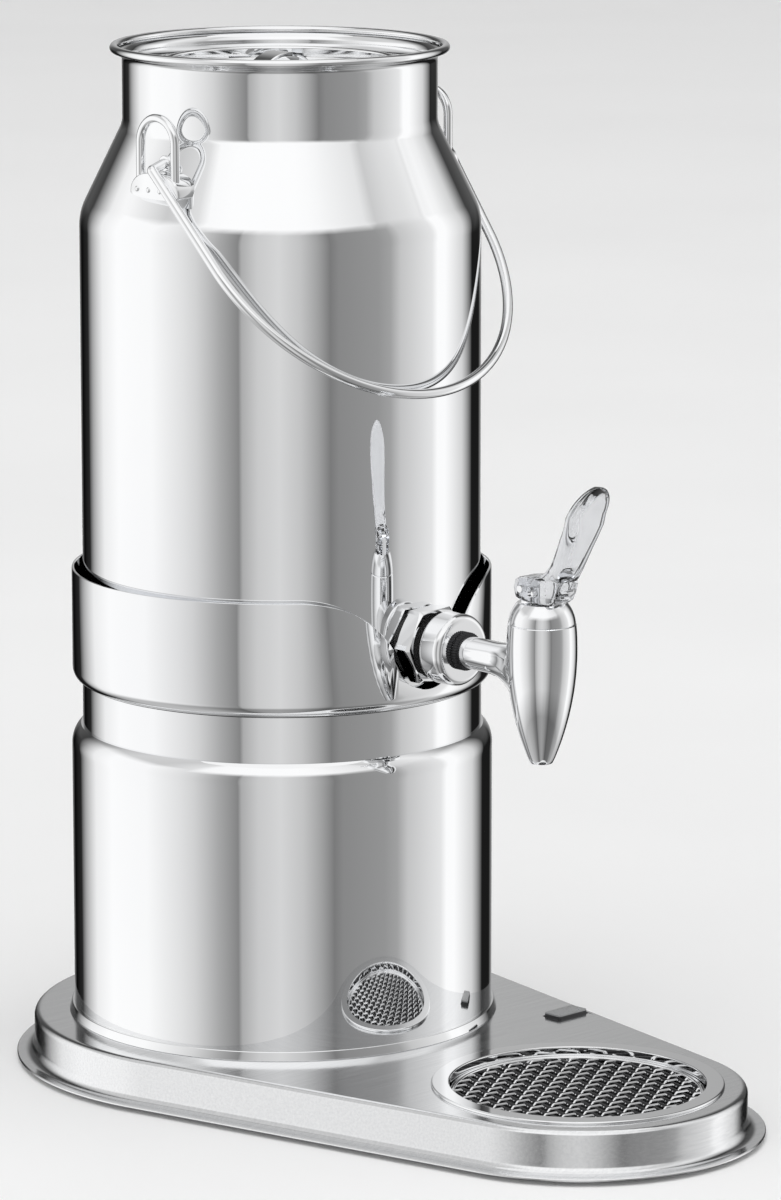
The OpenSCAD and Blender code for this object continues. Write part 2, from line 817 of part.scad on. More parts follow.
// half-moon block on the cone with an upright wire loop on it
module lug() {
    y = can_y - bail_fore;
    arch = lug_top - lug_half - lug_wire;
    color(steel) {
        translate([lug_x, y, arch]) rotate([90, 0, 90])
            rotate_extrude(angle = 180) translate([lug_half, 0]) circle(r = lug_wire);
        for (s = [-1, 1])
            translate([lug_x, y + s * lug_half, lug_low + lug_block])
                cylinder(r = lug_wire, h = arch - lug_low - lug_block);
        difference() {
            intersection() {
                translate([neck_r, y - lug_moon_r - cut, lug_low])
                    cube([lug_x + lug_wire + 0.6 - neck_r, 2 * (lug_moon_r + cut), lug_block]);
                translate([neck_r - cut, y, lug_low + lug_moon_r + 0.5]) rotate([0, 90, 0]) rotate([0, 0, 180])
                    cylinder(r = lug_moon_r, h = 40);
            }
            at_can() translate([0, 0, cone_z]) rotate([0, 0, 180])
                cylinder(r1 = can_r + seat_gap, r2 = neck_r + seat_gap, h = neck_z - cone_z, $fn = 240);
        }
    }
}

module right_lug() {
    lug();
}

module left_lug() {
    mirror([1, 0, 0]) lug();
}

// round middle, splayed legs, ball corners and headed pins through the lugs' loops
module bail_handle() {
    color(steel) translate([0, can_y - bail_fore, bail_z]) rotate([-bail_tilt, 0, 0]) {
        translate([0, 0, -bail_mid]) rotate([-90, 0, 0]) rotate([0, 0, bail_splay])
            rotate_extrude(angle = 180 - 2 * bail_splay) translate([bail_r, 0]) circle(r = bail_wire);
        both_sides() {
            translate([bail_r * cos(bail_splay), 0, -bail_foot]) rotate([0, bail_splay, 0]) {
                cylinder(r = bail_wire, h = bail_foot / cos(bail_splay));
                sphere(r = bail_wire + swell);
            }
            translate([bail_half, 0, 0]) sphere(r = bail_wire + 2 * swell);
            translate([pin_end, 0, 0]) rotate([0, 90, 0]) cylinder(r = bail_wire, h = bail_half - pin_end);
            translate([pin_end - 2, 0, 0]) rotate([0, 90, 0]) cylinder(r = bail_wire + 1.2, h = 2);
        }
    }
}

// Lid

module lid_pan() {
    color(steel) at_can() rotate_extrude() {
        translate([dish_r - lid_t, lid_z]) square([lid_r - dish_r + lid_t, lid_t]);
        translate([dish_r - lid_t, dish_floor]) square([lid_t, dish_drop]);
        translate([0, dish_floor]) square([dish_r, lid_t]);
    }
}

module lid_seal() {
    color(rubber) at_can() translate([0, 0, stop_z + stop_t]) tube(lid_r, neck_in - stop_w, seal_t);
}

// low arched strap with two flat feet
module lid_handle() {
    rise = strap_rise - strap_t;
    half = strap_half - 7;
    bow = (half * half + rise * rise) / (2 * rise);
    color(steel) at_can() translate([0, 0, dish_floor + lid_t]) difference() {
        union() {
            intersection() {
                translate([0, strap_w / 2, rise - bow]) rotate([90, 0, 0]) difference() {
                    cylinder(r = bow + strap_t, h = strap_w);
                    translate([0, 0, -cut]) cylinder(r = bow, h = strap_w + 2 * cut);
                }
                translate([-half - strap_t, -strap_w, 0]) cube([2 * (half + strap_t), 2 * strap_w, 2 * strap_rise]);
            }
            both_sides() translate([half - 0.5, -strap_w / 2, 0]) cube([strap_half - half + 0.5, strap_w, strap_t]);
        }
        both_sides() translate([half + 4, 0, -cut]) cylinder(r = screw_r + run_gap, h = 4);
    }
}

module lid_rivets() {
    color(steel) at_can() translate([0, 0, dish_floor + lid_t]) both_sides() translate([strap_half - 3, 0, 0]) {
        cylinder(r = screw_r, h = strap_t);
        translate([0, 0, strap_t]) cylinder(r = screw_head_r - 0.5, h = 1.2);
    }
}

// Tap

module outer_seal() {
    color(rubber) difference() {
        at_tap(can_r - 4) tube(washer_r, shank_r + run_gap, flange_face - 5 - can_r + 4);
        at_can() translate([0, 0, tap_z - 30]) cylinder(r = can_r + seat_gap, h = 60, $fn = 240);
    }
}

module inner_seal() {
    color(rubber) intersection() {
        at_tap(can_in - 4) tube(washer_r - 3, shank_r + run_gap, 10);
        at_can() translate([0, 0, tap_z - 30]) cylinder(r = can_in - seat_gap, h = 60, $fn = 240);
    }
}

module tap_backnut() {
    color(steel) at_tap(can_in - 11) difference() {
        cylinder(r = 15, h = 7, $fn = 6);
        translate([0, 0, -cut]) cylinder(r = shank_r + run_gap, h = 7 + 2 * cut);
    }
}

// hex flange with a dished face
module tap_flange() {
    color(steel) at_tap(flange_face - 5) difference() {
        cylinder(r = hex_r, h = 5, $fn = 6);
        translate([0, 0, 3]) cylinder(r1 = 10.5, r2 = 13.5, h = 2 + seat_gap);
        translate([0, 0, -cut]) cylinder(r = shank_r + run_gap, h = 5 + 2 * cut);
    }
}

module tap_shank() {
    color(steel) at_tap(can_in - 14) difference() {
        cylinder(r = shank_r, h = nut_front - 4 - can_in + 14);
        translate([0, 0, -cut]) cylinder(r = shank_bore, h = 60);
        for (i = [0 : 2])
            translate([0, 0, 27.5 + 2 * i]) tube(shank_r + cut, shank_r - 0.6, 0.9);
    }
}

module coupling_nut() {
    round = 2;
    color(steel) at_tap(nut_back) rotate_extrude() difference() {
        union() {
            translate([0, round]) square([nut_r, nut_front - nut_back - 2 * round]);
            square([nut_r - round, nut_front - nut_back]);
            for (z = [round, nut_front - nut_back - round])
                translate([nut_r - round, z]) circle(r = round);
        }
        translate([-cut, -cut]) square([shank_r + run_gap + cut, nut_front - nut_back - 4 + cut + slide_gap]);
        translate([-cut, -cut]) square([tube_r + run_gap + cut, nut_front]);
    }
}

module spout_solid() {
    intersection() {
        translate([spout_r - spout_arc, belly_z]) circle(r = spout_arc, $fn = 200);
        translate([0, spout_tip]) square([spout_r + cut, seam_z - spout_tip]);
    }
}

// spout with its side tube; the tube flares into the belly
module tap_body() {
    near = spout_reach - spout_r;
    color(steel) difference() {
        union() {
            at_spout() rotate_extrude() spout_solid();
            at_tap(nut_front - 4 + slide_gap) cylinder(r = tube_r, h = near - nut_front + 8);
            at_tap(nut_front + seat_gap) cylinder(r = collet_r, h = collet_l);
            at_tap(near - 9) cylinder(r1 = tube_r, r2 = tube_r + 3.4, h = 13);
        }
        at_spout() translate([0, 0, chamber_z]) cylinder(r = chamber_r, h = 40);
        at_spout() translate([0, 0, chamber_z - 3]) cylinder(r1 = outlet_r, r2 = outlet_r + 3, h = 3 + seat_gap);
        at_spout() translate([0, 0, spout_tip - cut]) cylinder(r = outlet_r, h = 60);
        at_tap(nut_front - 10) cylinder(r = shank_bore, h = spout_reach - nut_front + 10);
    }
}

module tap_bonnet() {
    color(steel) difference() {
        union() {
            at_spout() rotate_extrude() difference() {
                intersection() {
                    translate([spout_r - 0.7 - bonnet_arc, seam_z - 1.3]) circle(r = bonnet_arc);
                    translate([0, seam_z]) square([spout_r, bonnet_top - seam_z]);
                }
                translate([-cut, seam_z - cut]) square([chamber_r + cut, bonnet_in + cut]);
            }
            translate([-tongue_w / 2, pivot_y, pivot_z]) rotate([0, 90, 0]) cylinder(r = tongue_eye, h = tongue_w);
            translate([-tongue_w / 2, pivot_y - tongue_eye, bonnet_top - cut])
                cube([tongue_w, 2 * tongue_eye, pivot_rise + cut]);
        }
        at_spout() translate([0, 0, seam_z]) cylinder(r = stem_r + run_gap, h = 40);
        translate([-lever_w, pivot_y, pivot_z]) rotate([0, 90, 0]) cylinder(r = pin_r + run_gap, h = 2 * lever_w);
    }
}

module tap_stem() {
    color(steel) at_spout() difference() {
        union() {
            translate([0, 0, stem_low]) cylinder(r = stem_r, h = stem_pin_z + 2.4 - stem_low);
            translate([0, 0, stem_collar_z]) cylinder(r = chamber_r - 1.4, h = 1.5);
        }
        translate([-lever_w, 0, stem_pin_z]) rotate([0, 90, 0]) cylinder(r = stem_pin_r + run_gap, h = 2 * lever_w);
    }
}

module stem_pin() {
    color(steel) translate([-lever_w / 2 + 1, spout_y, stem_pin_z]) rotate([0, 90, 0])
        cylinder(r = stem_pin_r, h = lever_w - 2);
}

// soft plug on the stem's foot
module seat_cup() {
    color(rubber) at_spout() difference() {
        union() {
            translate([0, 0, chamber_z + 0.4]) cylinder(r1 = outlet_r + 2.2, r2 = outlet_r + 2.6, h = 6.6);
            translate([0, 0, chamber_z - 2.4]) cylinder(r1 = outlet_r - 0.6, r2 = outlet_r + 2.2, h = 2.8);
        }
        translate([0, 0, stem_low - seat_gap]) cylinder(r = stem_r + run_gap, h = 20);
    }
}

// closed coil, its turns run together
module tap_spring() {
    low = stem_collar_z + 1.5 + seat_gap + spring_wire;
    step = (seam_z + bonnet_in - seat_gap - spring_wire - low) / (spring_turns - 1);
    color(steel) at_spout() rotate_extrude() for (i = [0 : spring_turns - 1])
        translate([spring_r, low + i * step]) circle(r = spring_wire);
}

// side view of the lever, x forward of the spout axis
module lever_side() {
    blade_z = lever_top - blade_half + 1;
    low = pivot_z - eye_r + 0.05;
    high = pivot_z + eye_r - 0.05;
    polygon([[-pivot_back, low], [12, low], [15.4, pivot_z + 1], [19.4, high + 7.5],
             [33.2, blade_z - 0.3], [28.8, blade_z - 0.8],
             [14, high + 14], [9.5, high + 6.3], [3, high], [-pivot_back, high]]);
    translate([-pivot_back, pivot_z]) circle(r = eye_r);
    translate([30.95, blade_z]) circle(r = blade_half);
}

// front view of the lever
module lever_front() {
    low = pivot_z - eye_r - cut;
    high = pivot_z + eye_r;
    side = paddle_r - 0.1;
    polygon([[-lever_w / 2, low], [lever_w / 2, low], [lever_w / 2, high + 4], [lever_w / 2 - 1, high + 8],
             [side, high + 25], [side, lever_top - paddle_r], [-side, lever_top - paddle_r],
             [-side, high + 25], [1 - lever_w / 2, high + 8], [-lever_w / 2, high + 4]]);
    translate([0, lever_top - paddle_r]) circle(r = paddle_r);
}

// clear lever: a slotted block on the pivot and a blade leaning forward
module tap_lever() {
    color(clear) difference() {
        intersection() {
            translate([-2 * paddle_r, spout_y, 0]) rotate([90, 0, 0]) rotate([0, 90, 0])
                linear_extrude(4 * paddle_r) mirror([1, 0, 0]) lever_side();
            translate([0, spout_y + 40, 0]) rotate([90, 0, 0]) linear_extrude(100) lever_front();
        }
        translate([-lever_slot / 2, spout_y - 3.4, pivot_z - eye_r - cut])
            cube([lever_slot, 3.4 + pivot_back + eye_r + cut, eye_r + cut + 3.9]);
        translate([-lever_w, pivot_y, pivot_z]) rotate([0, 90, 0]) cylinder(r = pin_r + run_gap, h = 2 * lever_w);
        translate([-lever_w, spout_y, stem_pin_z]) rotate([0, 90, 0])
            cylinder(r = stem_pin_r + stem_pin_play, h = 2 * lever_w);
    }
}

module lever_pin() {
    color(steel) translate([-lever_w / 2, pivot_y, pivot_z]) rotate([0, 90, 0]) cylinder(r = pin_r, h = lever_w);
}

base_plate();
bottom_cover();
rubber_feet();
foot_screws();
spacer_posts();
housing_shell();
housing_screws();
housing_trim();
waist_ring();
collar_cup();
cold_plate();
insulation_ring();
peltier_module();
heat_sink();
sink_posts();
fan_frame();
fan_screws();
control_board();
board_posts();
power_inlet();
inlet_nut();
rear_vent_ring();
rear_vent_mesh();
button_frame();
switch_body();
drip_cup();
drip_grid();
can_body();
left_lug();
right_lug();
inner_seal();
outer_seal();
tap_backnut();
tap_flange();
tap_shank();
coupling_nut();
tap_body();
tap_bonnet();
tap_spring();
lid_pan();
lid_handle();
lid_rivets();
lid_seal();
bail_handle();
tap_lever();
lever_pin();
tap_stem();
stem_pin();
seat_cup();
fan_rotor();
power_button();
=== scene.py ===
"""Looks of a chilled milk dispenser: a polished can on a cooled foot, with a lever tap and a drip tray.

Sizes are in millimetres and angles in degrees until Workshop makes the meshes, in metres. The studio is in metres.
"""

import logging
import math
from dataclasses import dataclass, field
from enum import Enum
from typing import Callable, Protocol, Sequence

import bmesh
import bpy
from mathutils import Matrix, Vector


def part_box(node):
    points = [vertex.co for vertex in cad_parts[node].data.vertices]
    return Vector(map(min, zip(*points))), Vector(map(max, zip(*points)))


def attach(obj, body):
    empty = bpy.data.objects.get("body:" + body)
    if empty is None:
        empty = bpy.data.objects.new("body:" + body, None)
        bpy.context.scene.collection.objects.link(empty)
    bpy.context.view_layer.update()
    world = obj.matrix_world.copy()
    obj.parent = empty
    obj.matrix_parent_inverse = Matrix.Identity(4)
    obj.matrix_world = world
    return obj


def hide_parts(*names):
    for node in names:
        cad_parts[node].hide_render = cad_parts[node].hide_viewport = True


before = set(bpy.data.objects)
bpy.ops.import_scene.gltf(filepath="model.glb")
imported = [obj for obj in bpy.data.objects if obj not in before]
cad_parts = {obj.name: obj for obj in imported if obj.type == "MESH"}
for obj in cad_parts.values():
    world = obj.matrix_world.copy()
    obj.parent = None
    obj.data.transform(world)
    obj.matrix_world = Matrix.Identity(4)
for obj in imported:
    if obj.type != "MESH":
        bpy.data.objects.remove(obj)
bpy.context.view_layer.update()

MM = 0.001
TURN = 2 * math.pi
QUARTER = math.pi / 2
SHARP_DEGREES = 32.0
ROUND_STEPS = 240
RING_STEPS = 120
LOFT_STEPS = 64
NOISE_SPAN = (0.3, 0.7)
WELD = 1e-7
ON_AXIS = 1e-6
log = logging.getLogger("milk_dispenser")

Flat = tuple[float, float]
Spot = tuple[float, float, float]
Faces = list[tuple[int, ...]]


class Body(Enum):
    """The bodies of the frame that pieces move with."""

    BASE = "base"
    DRIP_CUP = "drip_cup"
    DRIP_GRID = "drip_grid"
    CAN = "can"
    LID = "lid"
    BAIL = "bail"
    LEVER = "lever"
    BUTTON = "button"


class Slot(Enum):
    """The record's material slots."""

    BRUSHED = "brushed_steel"
    POLISHED = "polished_steel"
    PLAIN = "plain_steel"
    ALUMINIUM = "aluminium"
    BLACK = "black_plastic"
    RUBBER = "rubber"
    FOAM = "foam"
    CERAMIC = "ceramic"
    BOARD = "circuit_board"
    CLEAR = "clear_acrylic"
    BUTTON = "button_metal"


class NodeBench:
    """A material's node tree with its shader and output in place."""

    def __init__(self, name: str) -> None:
        """Starts an empty material.

        Args:
            name: the material's name.
        """
        self.material = bpy.data.materials.new(name)
        self.material.use_nodes = True
        self.nodes = self.material.node_tree.nodes
        self.links = self.material.node_tree.links
        self.shader = next(n for n in self.nodes if n.type == "BSDF_PRINCIPLED")

    def add(self, kind: str, **values: object) -> bpy.types.Node:
        """Adds a node and sets its inputs.

        Args:
            kind: the node's type name.
            values: input values by socket name, with spaces written as underscores.

        Returns:
            The new node.
        """
        node = self.nodes.new(kind)
        for name, value in values.items():
            node.inputs[name.replace("_", " ")].default_value = value
        return node

    def set(self, **values: object) -> None:
        """Sets the shader's own sockets, named with underscores for spaces."""
        for name, value in values.items():
            self.shader.inputs[name.replace("_", " ")].default_value = value

    def speckle(self, scale: Spot, detail: float) -> bpy.types.NodeSocket:
        """Adds noise on the object's own coordinates.

        Args:
            scale: how often the noise repeats a metre along each axis.
            detail: octaves of the noise.

        Returns:
            The noise's value socket.
        """
        where = self.add("ShaderNodeTexCoord")
        mapping = self.add("ShaderNodeMapping", Scale=scale)
        noise = self.add("ShaderNodeTexNoise", Scale=1.0, Detail=detail)
        self.links.new(where.outputs["Object"], mapping.inputs["Vector"])
        self.links.new(mapping.outputs["Vector"], noise.inputs["Vector"])
        return noise.outputs["Fac"]

    def spread(self, value: bpy.types.NodeSocket, low: float, high: float, into: str) -> None:
        """Maps a noise value to a range and feeds one of the shader's sockets.

        Args:
            value: the noise.
            low: the socket's lowest value.
            high: the socket's highest value.
            into: the shader socket's name.
        """
        ranged = self.add("ShaderNodeMapRange", From_Min=NOISE_SPAN[0], From_Max=NOISE_SPAN[1],
                          To_Min=low, To_Max=high)
        self.links.new(value, ranged.inputs["Value"])
        self.links.new(ranged.outputs["Result"], self.shader.inputs[into])

    def tint(self, value: bpy.types.NodeSocket, dark: Spot, light: Spot) -> None:
        """Varies the shader's colour between two tones.

        Args:
            value: the noise.
            dark: the darker colour.
            light: the lighter colour.
        """
        ramp = self.add("ShaderNodeValToRGB")
        for stop, place, colour in zip(ramp.color_ramp.elements, NOISE_SPAN, (dark, light)):
            stop.position = place
            stop.color = (*colour, 1.0)
        self.links.new(value, ramp.inputs["Fac"])
        self.links.new(ramp.outputs["Color"], self.shader.inputs["Base Color"])

    def bump(self, value: bpy.types.NodeSocket, strength: float, depth: float) -> None:
        """Roughs up the surface's shading.

        Args:
            value: the height.
            strength: share of the bump that shows.
            depth: height of the bump in metres.
        """
        bump = self.add("ShaderNodeBump", Strength=strength, Distance=depth)
        self.links.new(value, bump.inputs["Height"])
        self.links.new(bump.outputs["Normal"], self.shader.inputs["Normal"])


@dataclass(frozen=True)
class Finish:
    """A surface with its name and the record's slot that it belongs to."""

    name: str
    slot: Slot

    def material(self) -> bpy.types.Material:
        """Makes the finish's material once and hands it out after that.

        Returns:
            The material.
        """
        if self.name not in bpy.data.materials:
            self.dress(NodeBench(self.name))
        return bpy.data.materials[self.name]

    def dress(self, bench: NodeBench) -> None:
        """Fills the material's node tree; each kind of finish has its own way."""
        raise NotImplementedError


@dataclass(frozen=True)
class MouldedFinish(Finish):
    """A moulded, pressed or cast surface, its tone and roughness varied by one grain."""

    dark: Spot
    light: Spot
    gloss: Flat
    grain: Spot
    detail: float = 4.0
    bump: float = 0.15
    bump_depth: float = 0.0002
    metallic: float = 0.0

    def dress(self, bench: NodeBench) -> None:
        """Varies colour and roughness with the grain, and roughs up the shading.

        Args:
            bench: the material's node tree.
        """
        bench.set(Metallic=self.metallic)
        grain = bench.speckle(self.grain, self.detail)
        bench.tint(grain, self.dark, self.light)
        bench.spread(grain, *self.gloss, "Roughness")
        if self.bump:
            bench.bump(grain, self.bump, self.bump_depth)


@dataclass(frozen=True)
class MetalFinish(MouldedFinish):
    """A bare metal surface, from a mirror polish to a brushed or drawn one."""

    bump: float = 0.0
    bump_depth: float = 0.0001
    metallic: float = 1.0


@dataclass(frozen=True)
class ClearFinish(Finish):
    """A clear cast plastic."""

    colour: Spot
    gloss: Flat
    grain: Spot
    ior: float
    detail: float = 2.0

    def dress(self, bench: NodeBench) -> None:
        """Lets light through and varies the roughness a little.

        Args:
            bench: the material's node tree.
        """
        bench.set(Base_Color=(*self.colour, 1.0), IOR=self.ior, Transmission_Weight=1.0)
        bench.spread(bench.speckle(self.grain, self.detail), *self.gloss, "Roughness")


def even(scale: float) -> Spot:
    """Returns one grain scale for all three axes."""
    return (scale, scale, scale)


MIRROR_STEEL = MetalFinish("mirror_steel", Slot.POLISHED, (0.90, 0.905, 0.915), (0.93, 0.935, 0.94),
                           (0.015, 0.04), (9.0, 9.0, 5.0), detail=3.0)
SATIN_STEEL = MetalFinish("satin_steel", Slot.BRUSHED, (0.80, 0.805, 0.815), (0.88, 0.885, 0.89),
                          (0.10, 0.17), (26.0, 900.0, 900.0), bump=0.03)
DRAWN_STEEL = MetalFinish("drawn_steel", Slot.PLAIN, (0.84, 0.845, 0.855), (0.90, 0.905, 0.91),
                          (0.06, 0.14), even(160.0), bump=0.02)
# Near-black steel that stands in for shade: painted shade on the drip well, the grid's crossing bars and the knurled
# ring.
SHADE_PAINTED_STEEL = MetalFinish("shade_painted_steel", Slot.BRUSHED, (0.035, 0.035, 0.037), (0.06, 0.06, 0.063),
                         (0.35, 0.5), even(120.0), bump=0.05)
SINK_ALLOY = MetalFinish("sink_alloy", Slot.ALUMINIUM, (0.68, 0.69, 0.71), (0.76, 0.77, 0.79),
                         (0.28, 0.42), (300.0, 300.0, 40.0), bump=0.08)
BLACK_PLASTIC = MouldedFinish("black_plastic_skin", Slot.BLACK, (0.018, 0.018, 0.020), (0.034, 0.034, 0.037),
                              (0.34, 0.5), even(1500.0))
BLACK_RUBBER = MouldedFinish("black_rubber_skin", Slot.RUBBER, (0.020, 0.020, 0.020), (0.040, 0.040, 0.041),
                             (0.55, 0.75), even(900.0))
WHITE_FOAM = MouldedFinish("white_foam", Slot.FOAM, (0.78, 0.78, 0.75), (0.86, 0.86, 0.84),
                           (0.8, 0.95), even(700.0), bump=0.4, bump_depth=0.0006)
WHITE_CERAMIC = MouldedFinish("white_ceramic", Slot.CERAMIC, (0.84, 0.84, 0.82), (0.90, 0.90, 0.89),
                              (0.25, 0.4), even(500.0))
GREEN_BOARD = MouldedFinish("green_board", Slot.BOARD, (0.03, 0.16, 0.08), (0.06, 0.24, 0.13),
                            (0.3, 0.45), even(220.0))
GREY_CAP = MouldedFinish("grey_satin_cap", Slot.BUTTON, (0.30, 0.305, 0.31), (0.36, 0.365, 0.37),
                         (0.25, 0.38), even(1200.0), bump=0.1)
CLEAR_ACRYLIC = ClearFinish("clear_acrylic_cast", Slot.CLEAR, (0.80, 0.81, 0.83), (0.0, 0.03),
                            even(60.0), ior=1.49)
PALE_FLOOR = MouldedFinish("pale_floor", Slot.FOAM, (0.93, 0.93, 0.93), (0.95, 0.95, 0.95),
                           (0.9, 1.0), even(3.0), bump=0.0)


@dataclass
class Shape:
    """Loose mesh data in millimetres: points and the faces between them."""

    points: list[Spot] = field(default_factory=list)
    faces: Faces = field(default_factory=list)

    def add(self, other: "Shape") -> "Shape":
        """Takes in another shape.

        Args:
            other: the shape to take in.

        Returns:
            This shape.
        """
        start = len(self.points)
        self.points.extend(other.points)
        self.faces.extend(tuple(i + start for i in f) for f in other.faces)
        return self

    def moved(self, change: Callable[[Spot], Spot]) -> "Shape":
        """Returns a copy with each point sent through a function."""
        return Shape([change(p) for p in self.points], list(self.faces))

    def placed(self, matrix: Matrix) -> "Shape":
        """Returns a copy turned and shifted by a matrix."""
        return self.moved(lambda p: tuple(matrix @ Vector(p)))


def arc(centre: Flat, radius: float, start: float, end: float, steps: int = 10) -> list[Flat]:
    """Points of an arc in a section.

    Args:
        centre: the arc's centre.
        radius: its radius.
        start: first angle in degrees.
        end: last angle in degrees.
        steps: how many parts the arc is cut in.

    Returns:
        The points from start to end.
    """
    angles = [math.radians(start + (end - start) * i / steps) for i in range(steps + 1)]
    return [(centre[0] + radius * math.cos(a), centre[1] + radius * math.sin(a)) for a in angles]


def rounded(corners: Sequence[Flat], radii: Sequence[float], steps: int = 8) -> list[Flat]:
    """Rounds the corners of an open outline.

    Args:
        corners: the outline's corners.
        radii: a radius for each corner, 0 for a sharp one.
        steps: parts of each rounding.

    Returns:
        The rounded outline.
    """
    out: list[Flat] = []
    for i, (x, y) in enumerate(corners):
        if radii[i] <= 0 or i in (0, len(corners) - 1):
            out.append((x, y))
            continue
        here = Vector((x, y))
        back = (Vector(corners[i - 1]) - here).normalized()
        ahead = (Vector(corners[i + 1]) - here).normalized()
        half = back.angle(ahead) / 2
        middle = here + (back + ahead).normalized() * (radii[i] / math.sin(half))
        first = here + back * (radii[i] / math.tan(half)) - middle
        last = here + ahead * (radii[i] / math.tan(half)) - middle
        sweep = first.angle_signed(last)
        for k in range(steps + 1):
            c, s = math.cos(-sweep * k / steps), math.sin(-sweep * k / steps)
            out.append((middle.x + first.x * c - first.y * s, middle.y + first.x * s + first.y * c))
    return out


def supported(outline: Sequence[Flat], near: float = 0.3, longest: float = 4.0) -> list[Flat]:
    """Adds points close to the ends of long straight runs, so that their shading stays flat.

    Args:
        outline: a section's points.
        near: how far from an end the new points lie.
        longest: runs up to this length are left alone.

    Returns:
        The outline with the points added.
    """
    out = [outline[0]]
    for a, b in zip(outline, outline[1:]):
        run = math.dist(a, b)
        if run > longest:
            t = near / run
            out.append((a[0] + (b[0] - a[0]) * t, a[1] + (b[1] - a[1]) * t))
            out.append((b[0] + (a[0] - b[0]) * t, b[1] + (a[1] - b[1]) * t))
        out.append(b)
    return out


def lathe(outline: Sequence[Flat], centre: Flat = (0.0, 0.0), steps: int = ROUND_STEPS, closed: bool = True,
          hole: Callable[[float, float], bool] | None = None) -> Shape:
    """Turns a section of radius and height about an upright axis.

    Args:
        outline: the section's points.
        centre: where the axis stands.
        steps: parts of the full turn.
        closed: joins the last point to the first.
        hole: says, from a face's angle and height, where the wall is left open.

    Returns:
        The turned shape.
    """
    shape = Shape()
    rings: list[list[int]] = []
    for r, z in outline:
        start = len(shape.points)
        if r < ON_AXIS:
            shape.points.append((centre[0], centre[1], z))
            rings.append([start] * steps)
            continue
        for k in range(steps):
            a = TURN * k / steps
            shape.points.append((centre[0] + r * math.sin(a), centre[1] - r * math.cos(a), z))
        rings.append(list(range(start, start + steps)))
    pairs = list(zip(range(len(outline)), range(1, len(outline))))
    if closed:
        pairs.append((len(outline) - 1, 0))
    for i, j in pairs:
        for k in range(steps):
            if hole and hole(TURN * (k + 0.5) / steps, (outline[i][1] + outline[j][1]) / 2):
                continue
            n = (k + 1) % steps
            corners = (rings[i][k], rings[i][n], rings[j][n], rings[j][k])
            kept = tuple(dict.fromkeys(corners))
            if len(kept) > 2:
                shape.faces.append(kept)
    return shape


def loop_skin(loops: Sequence[Sequence[Spot]], ends: bool = False, ring: bool = False) -> Shape:
    """Joins a row of closed point loops with faces.

    Args:
        loops: loops with the same number of points.
        ends: closes the first and last loop with a cap.
        ring: joins the last loop to the first.

    Returns:
        The skin.
    """
    row = [*loops, loops[0]] if ring else list(loops)
    shape = Shape([p for loop in row for p in loop])
    n = len(row[0])
    for i in range(len(row) - 1):
        for k in range(n):
            m = (k + 1) % n
            shape.faces.append((i * n + k, i * n + m, (i + 1) * n + m, (i + 1) * n + k))
    if ends:
        last = (len(row) - 1) * n
        shape.faces.append(tuple(range(n - 1, -1, -1)))
        shape.faces.append(tuple(range(last, last + n)))
    return shape


def turned_skin(steps: int, section: Callable[[float], Sequence[Flat]]) -> Shape:
    """Turns a section that changes with the angle about the z axis.

    Args:
        steps: parts of the full turn.
        section: returns the points of radius and height at an angle.

    Returns:
        The closed ring's skin.
    """
    angles = [TURN * k / steps for k in range(steps)]
    return loop_skin([[(r * math.cos(a), r * math.sin(a), z) for r, z in section(a)] for a in angles], ring=True)


def squared(angle: float, across: float, up: float) -> Flat:
    """Returns a point of a squared-off unit circle, one power for each axis."""
    c, s = math.cos(angle), math.sin(angle)
    return math.copysign(abs(c) ** across, c), math.copysign(abs(s) ** up, s)


def wire(path: Sequence[Spot], radius: float, sides: int = 20) -> Shape:
    """A round wire along a path, with rounded ends.

    Args:
        path: the middle line.
        radius: the wire's radius.
        sides: points round the wire.

    Returns:
        The wire's skin.
    """
    spots = [Vector(p) for p in path]
    ahead = [(b - a).normalized() for a, b in zip(spots, spots[1:])]
    tangents = [ahead[0]] + [(a + b).normalized() for a, b in zip(ahead, ahead[1:])] + [ahead[-1]]
    side = tangents[0].orthogonal().normalized()
    loops: list[list[Spot]] = []

    def ring(at: Vector, along: Vector, across: Vector, size: float) -> list[Spot]:
        """Makes one loop of points about a spot on the path.

        Args:
            at: the spot.
            along: the path's direction there.
            across: where the loop starts.
            size: the loop's radius.

        Returns:
            The loop.
        """
        other = along.cross(across)
        turn = [TURN * k / sides for k in range(sides)]
        return [tuple(at + across * (size * math.cos(t)) + other * (size * math.sin(t))) for t in turn]

    dome = [math.radians(d) for d in (15, 35, 60, 80)]
    for i, (at, along) in enumerate(zip(spots, tangents)):
        side = (side - along * side.dot(along)).normalized()
        if i == 0:
            loops += [ring(at - along * (radius * math.cos(d)), along, side, radius * math.sin(d)) for d in dome]
        loops.append(ring(at, along, side, radius))
        if i == len(spots) - 1:
            loops += [ring(at + along * (radius * math.cos(d)), along, side, radius * math.sin(d))
                      for d in reversed(dome)]
    return loop_skin(loops, ends=True)


def bent_path(corners: Sequence[Spot], radius: float, steps: int = 10) -> list[Spot]:
    """A path through corners with each inner corner bent to a radius.

    Args:
        corners: the corners.
        radius: the bends' radius.
        steps: parts of each bend.

    Returns:
        The path's points.
    """
    out = [corners[0]]
    for a, b, c in zip(corners, corners[1:], corners[2:]):
        here = Vector(b)
        back = (Vector(a) - here).normalized()
        ahead = (Vector(c) - here).normalized()
        half = back.angle(ahead) / 2
        reach = radius / math.tan(half)
        middle = here + (back + ahead).normalized() * (radius / math.sin(half))
        first = here + back * reach - middle
        last = here + ahead * reach - middle
        for k in range(steps + 1):
            out.append(tuple(middle + first.slerp(last, k / steps)))
    out.append(corners[-1])
    return out


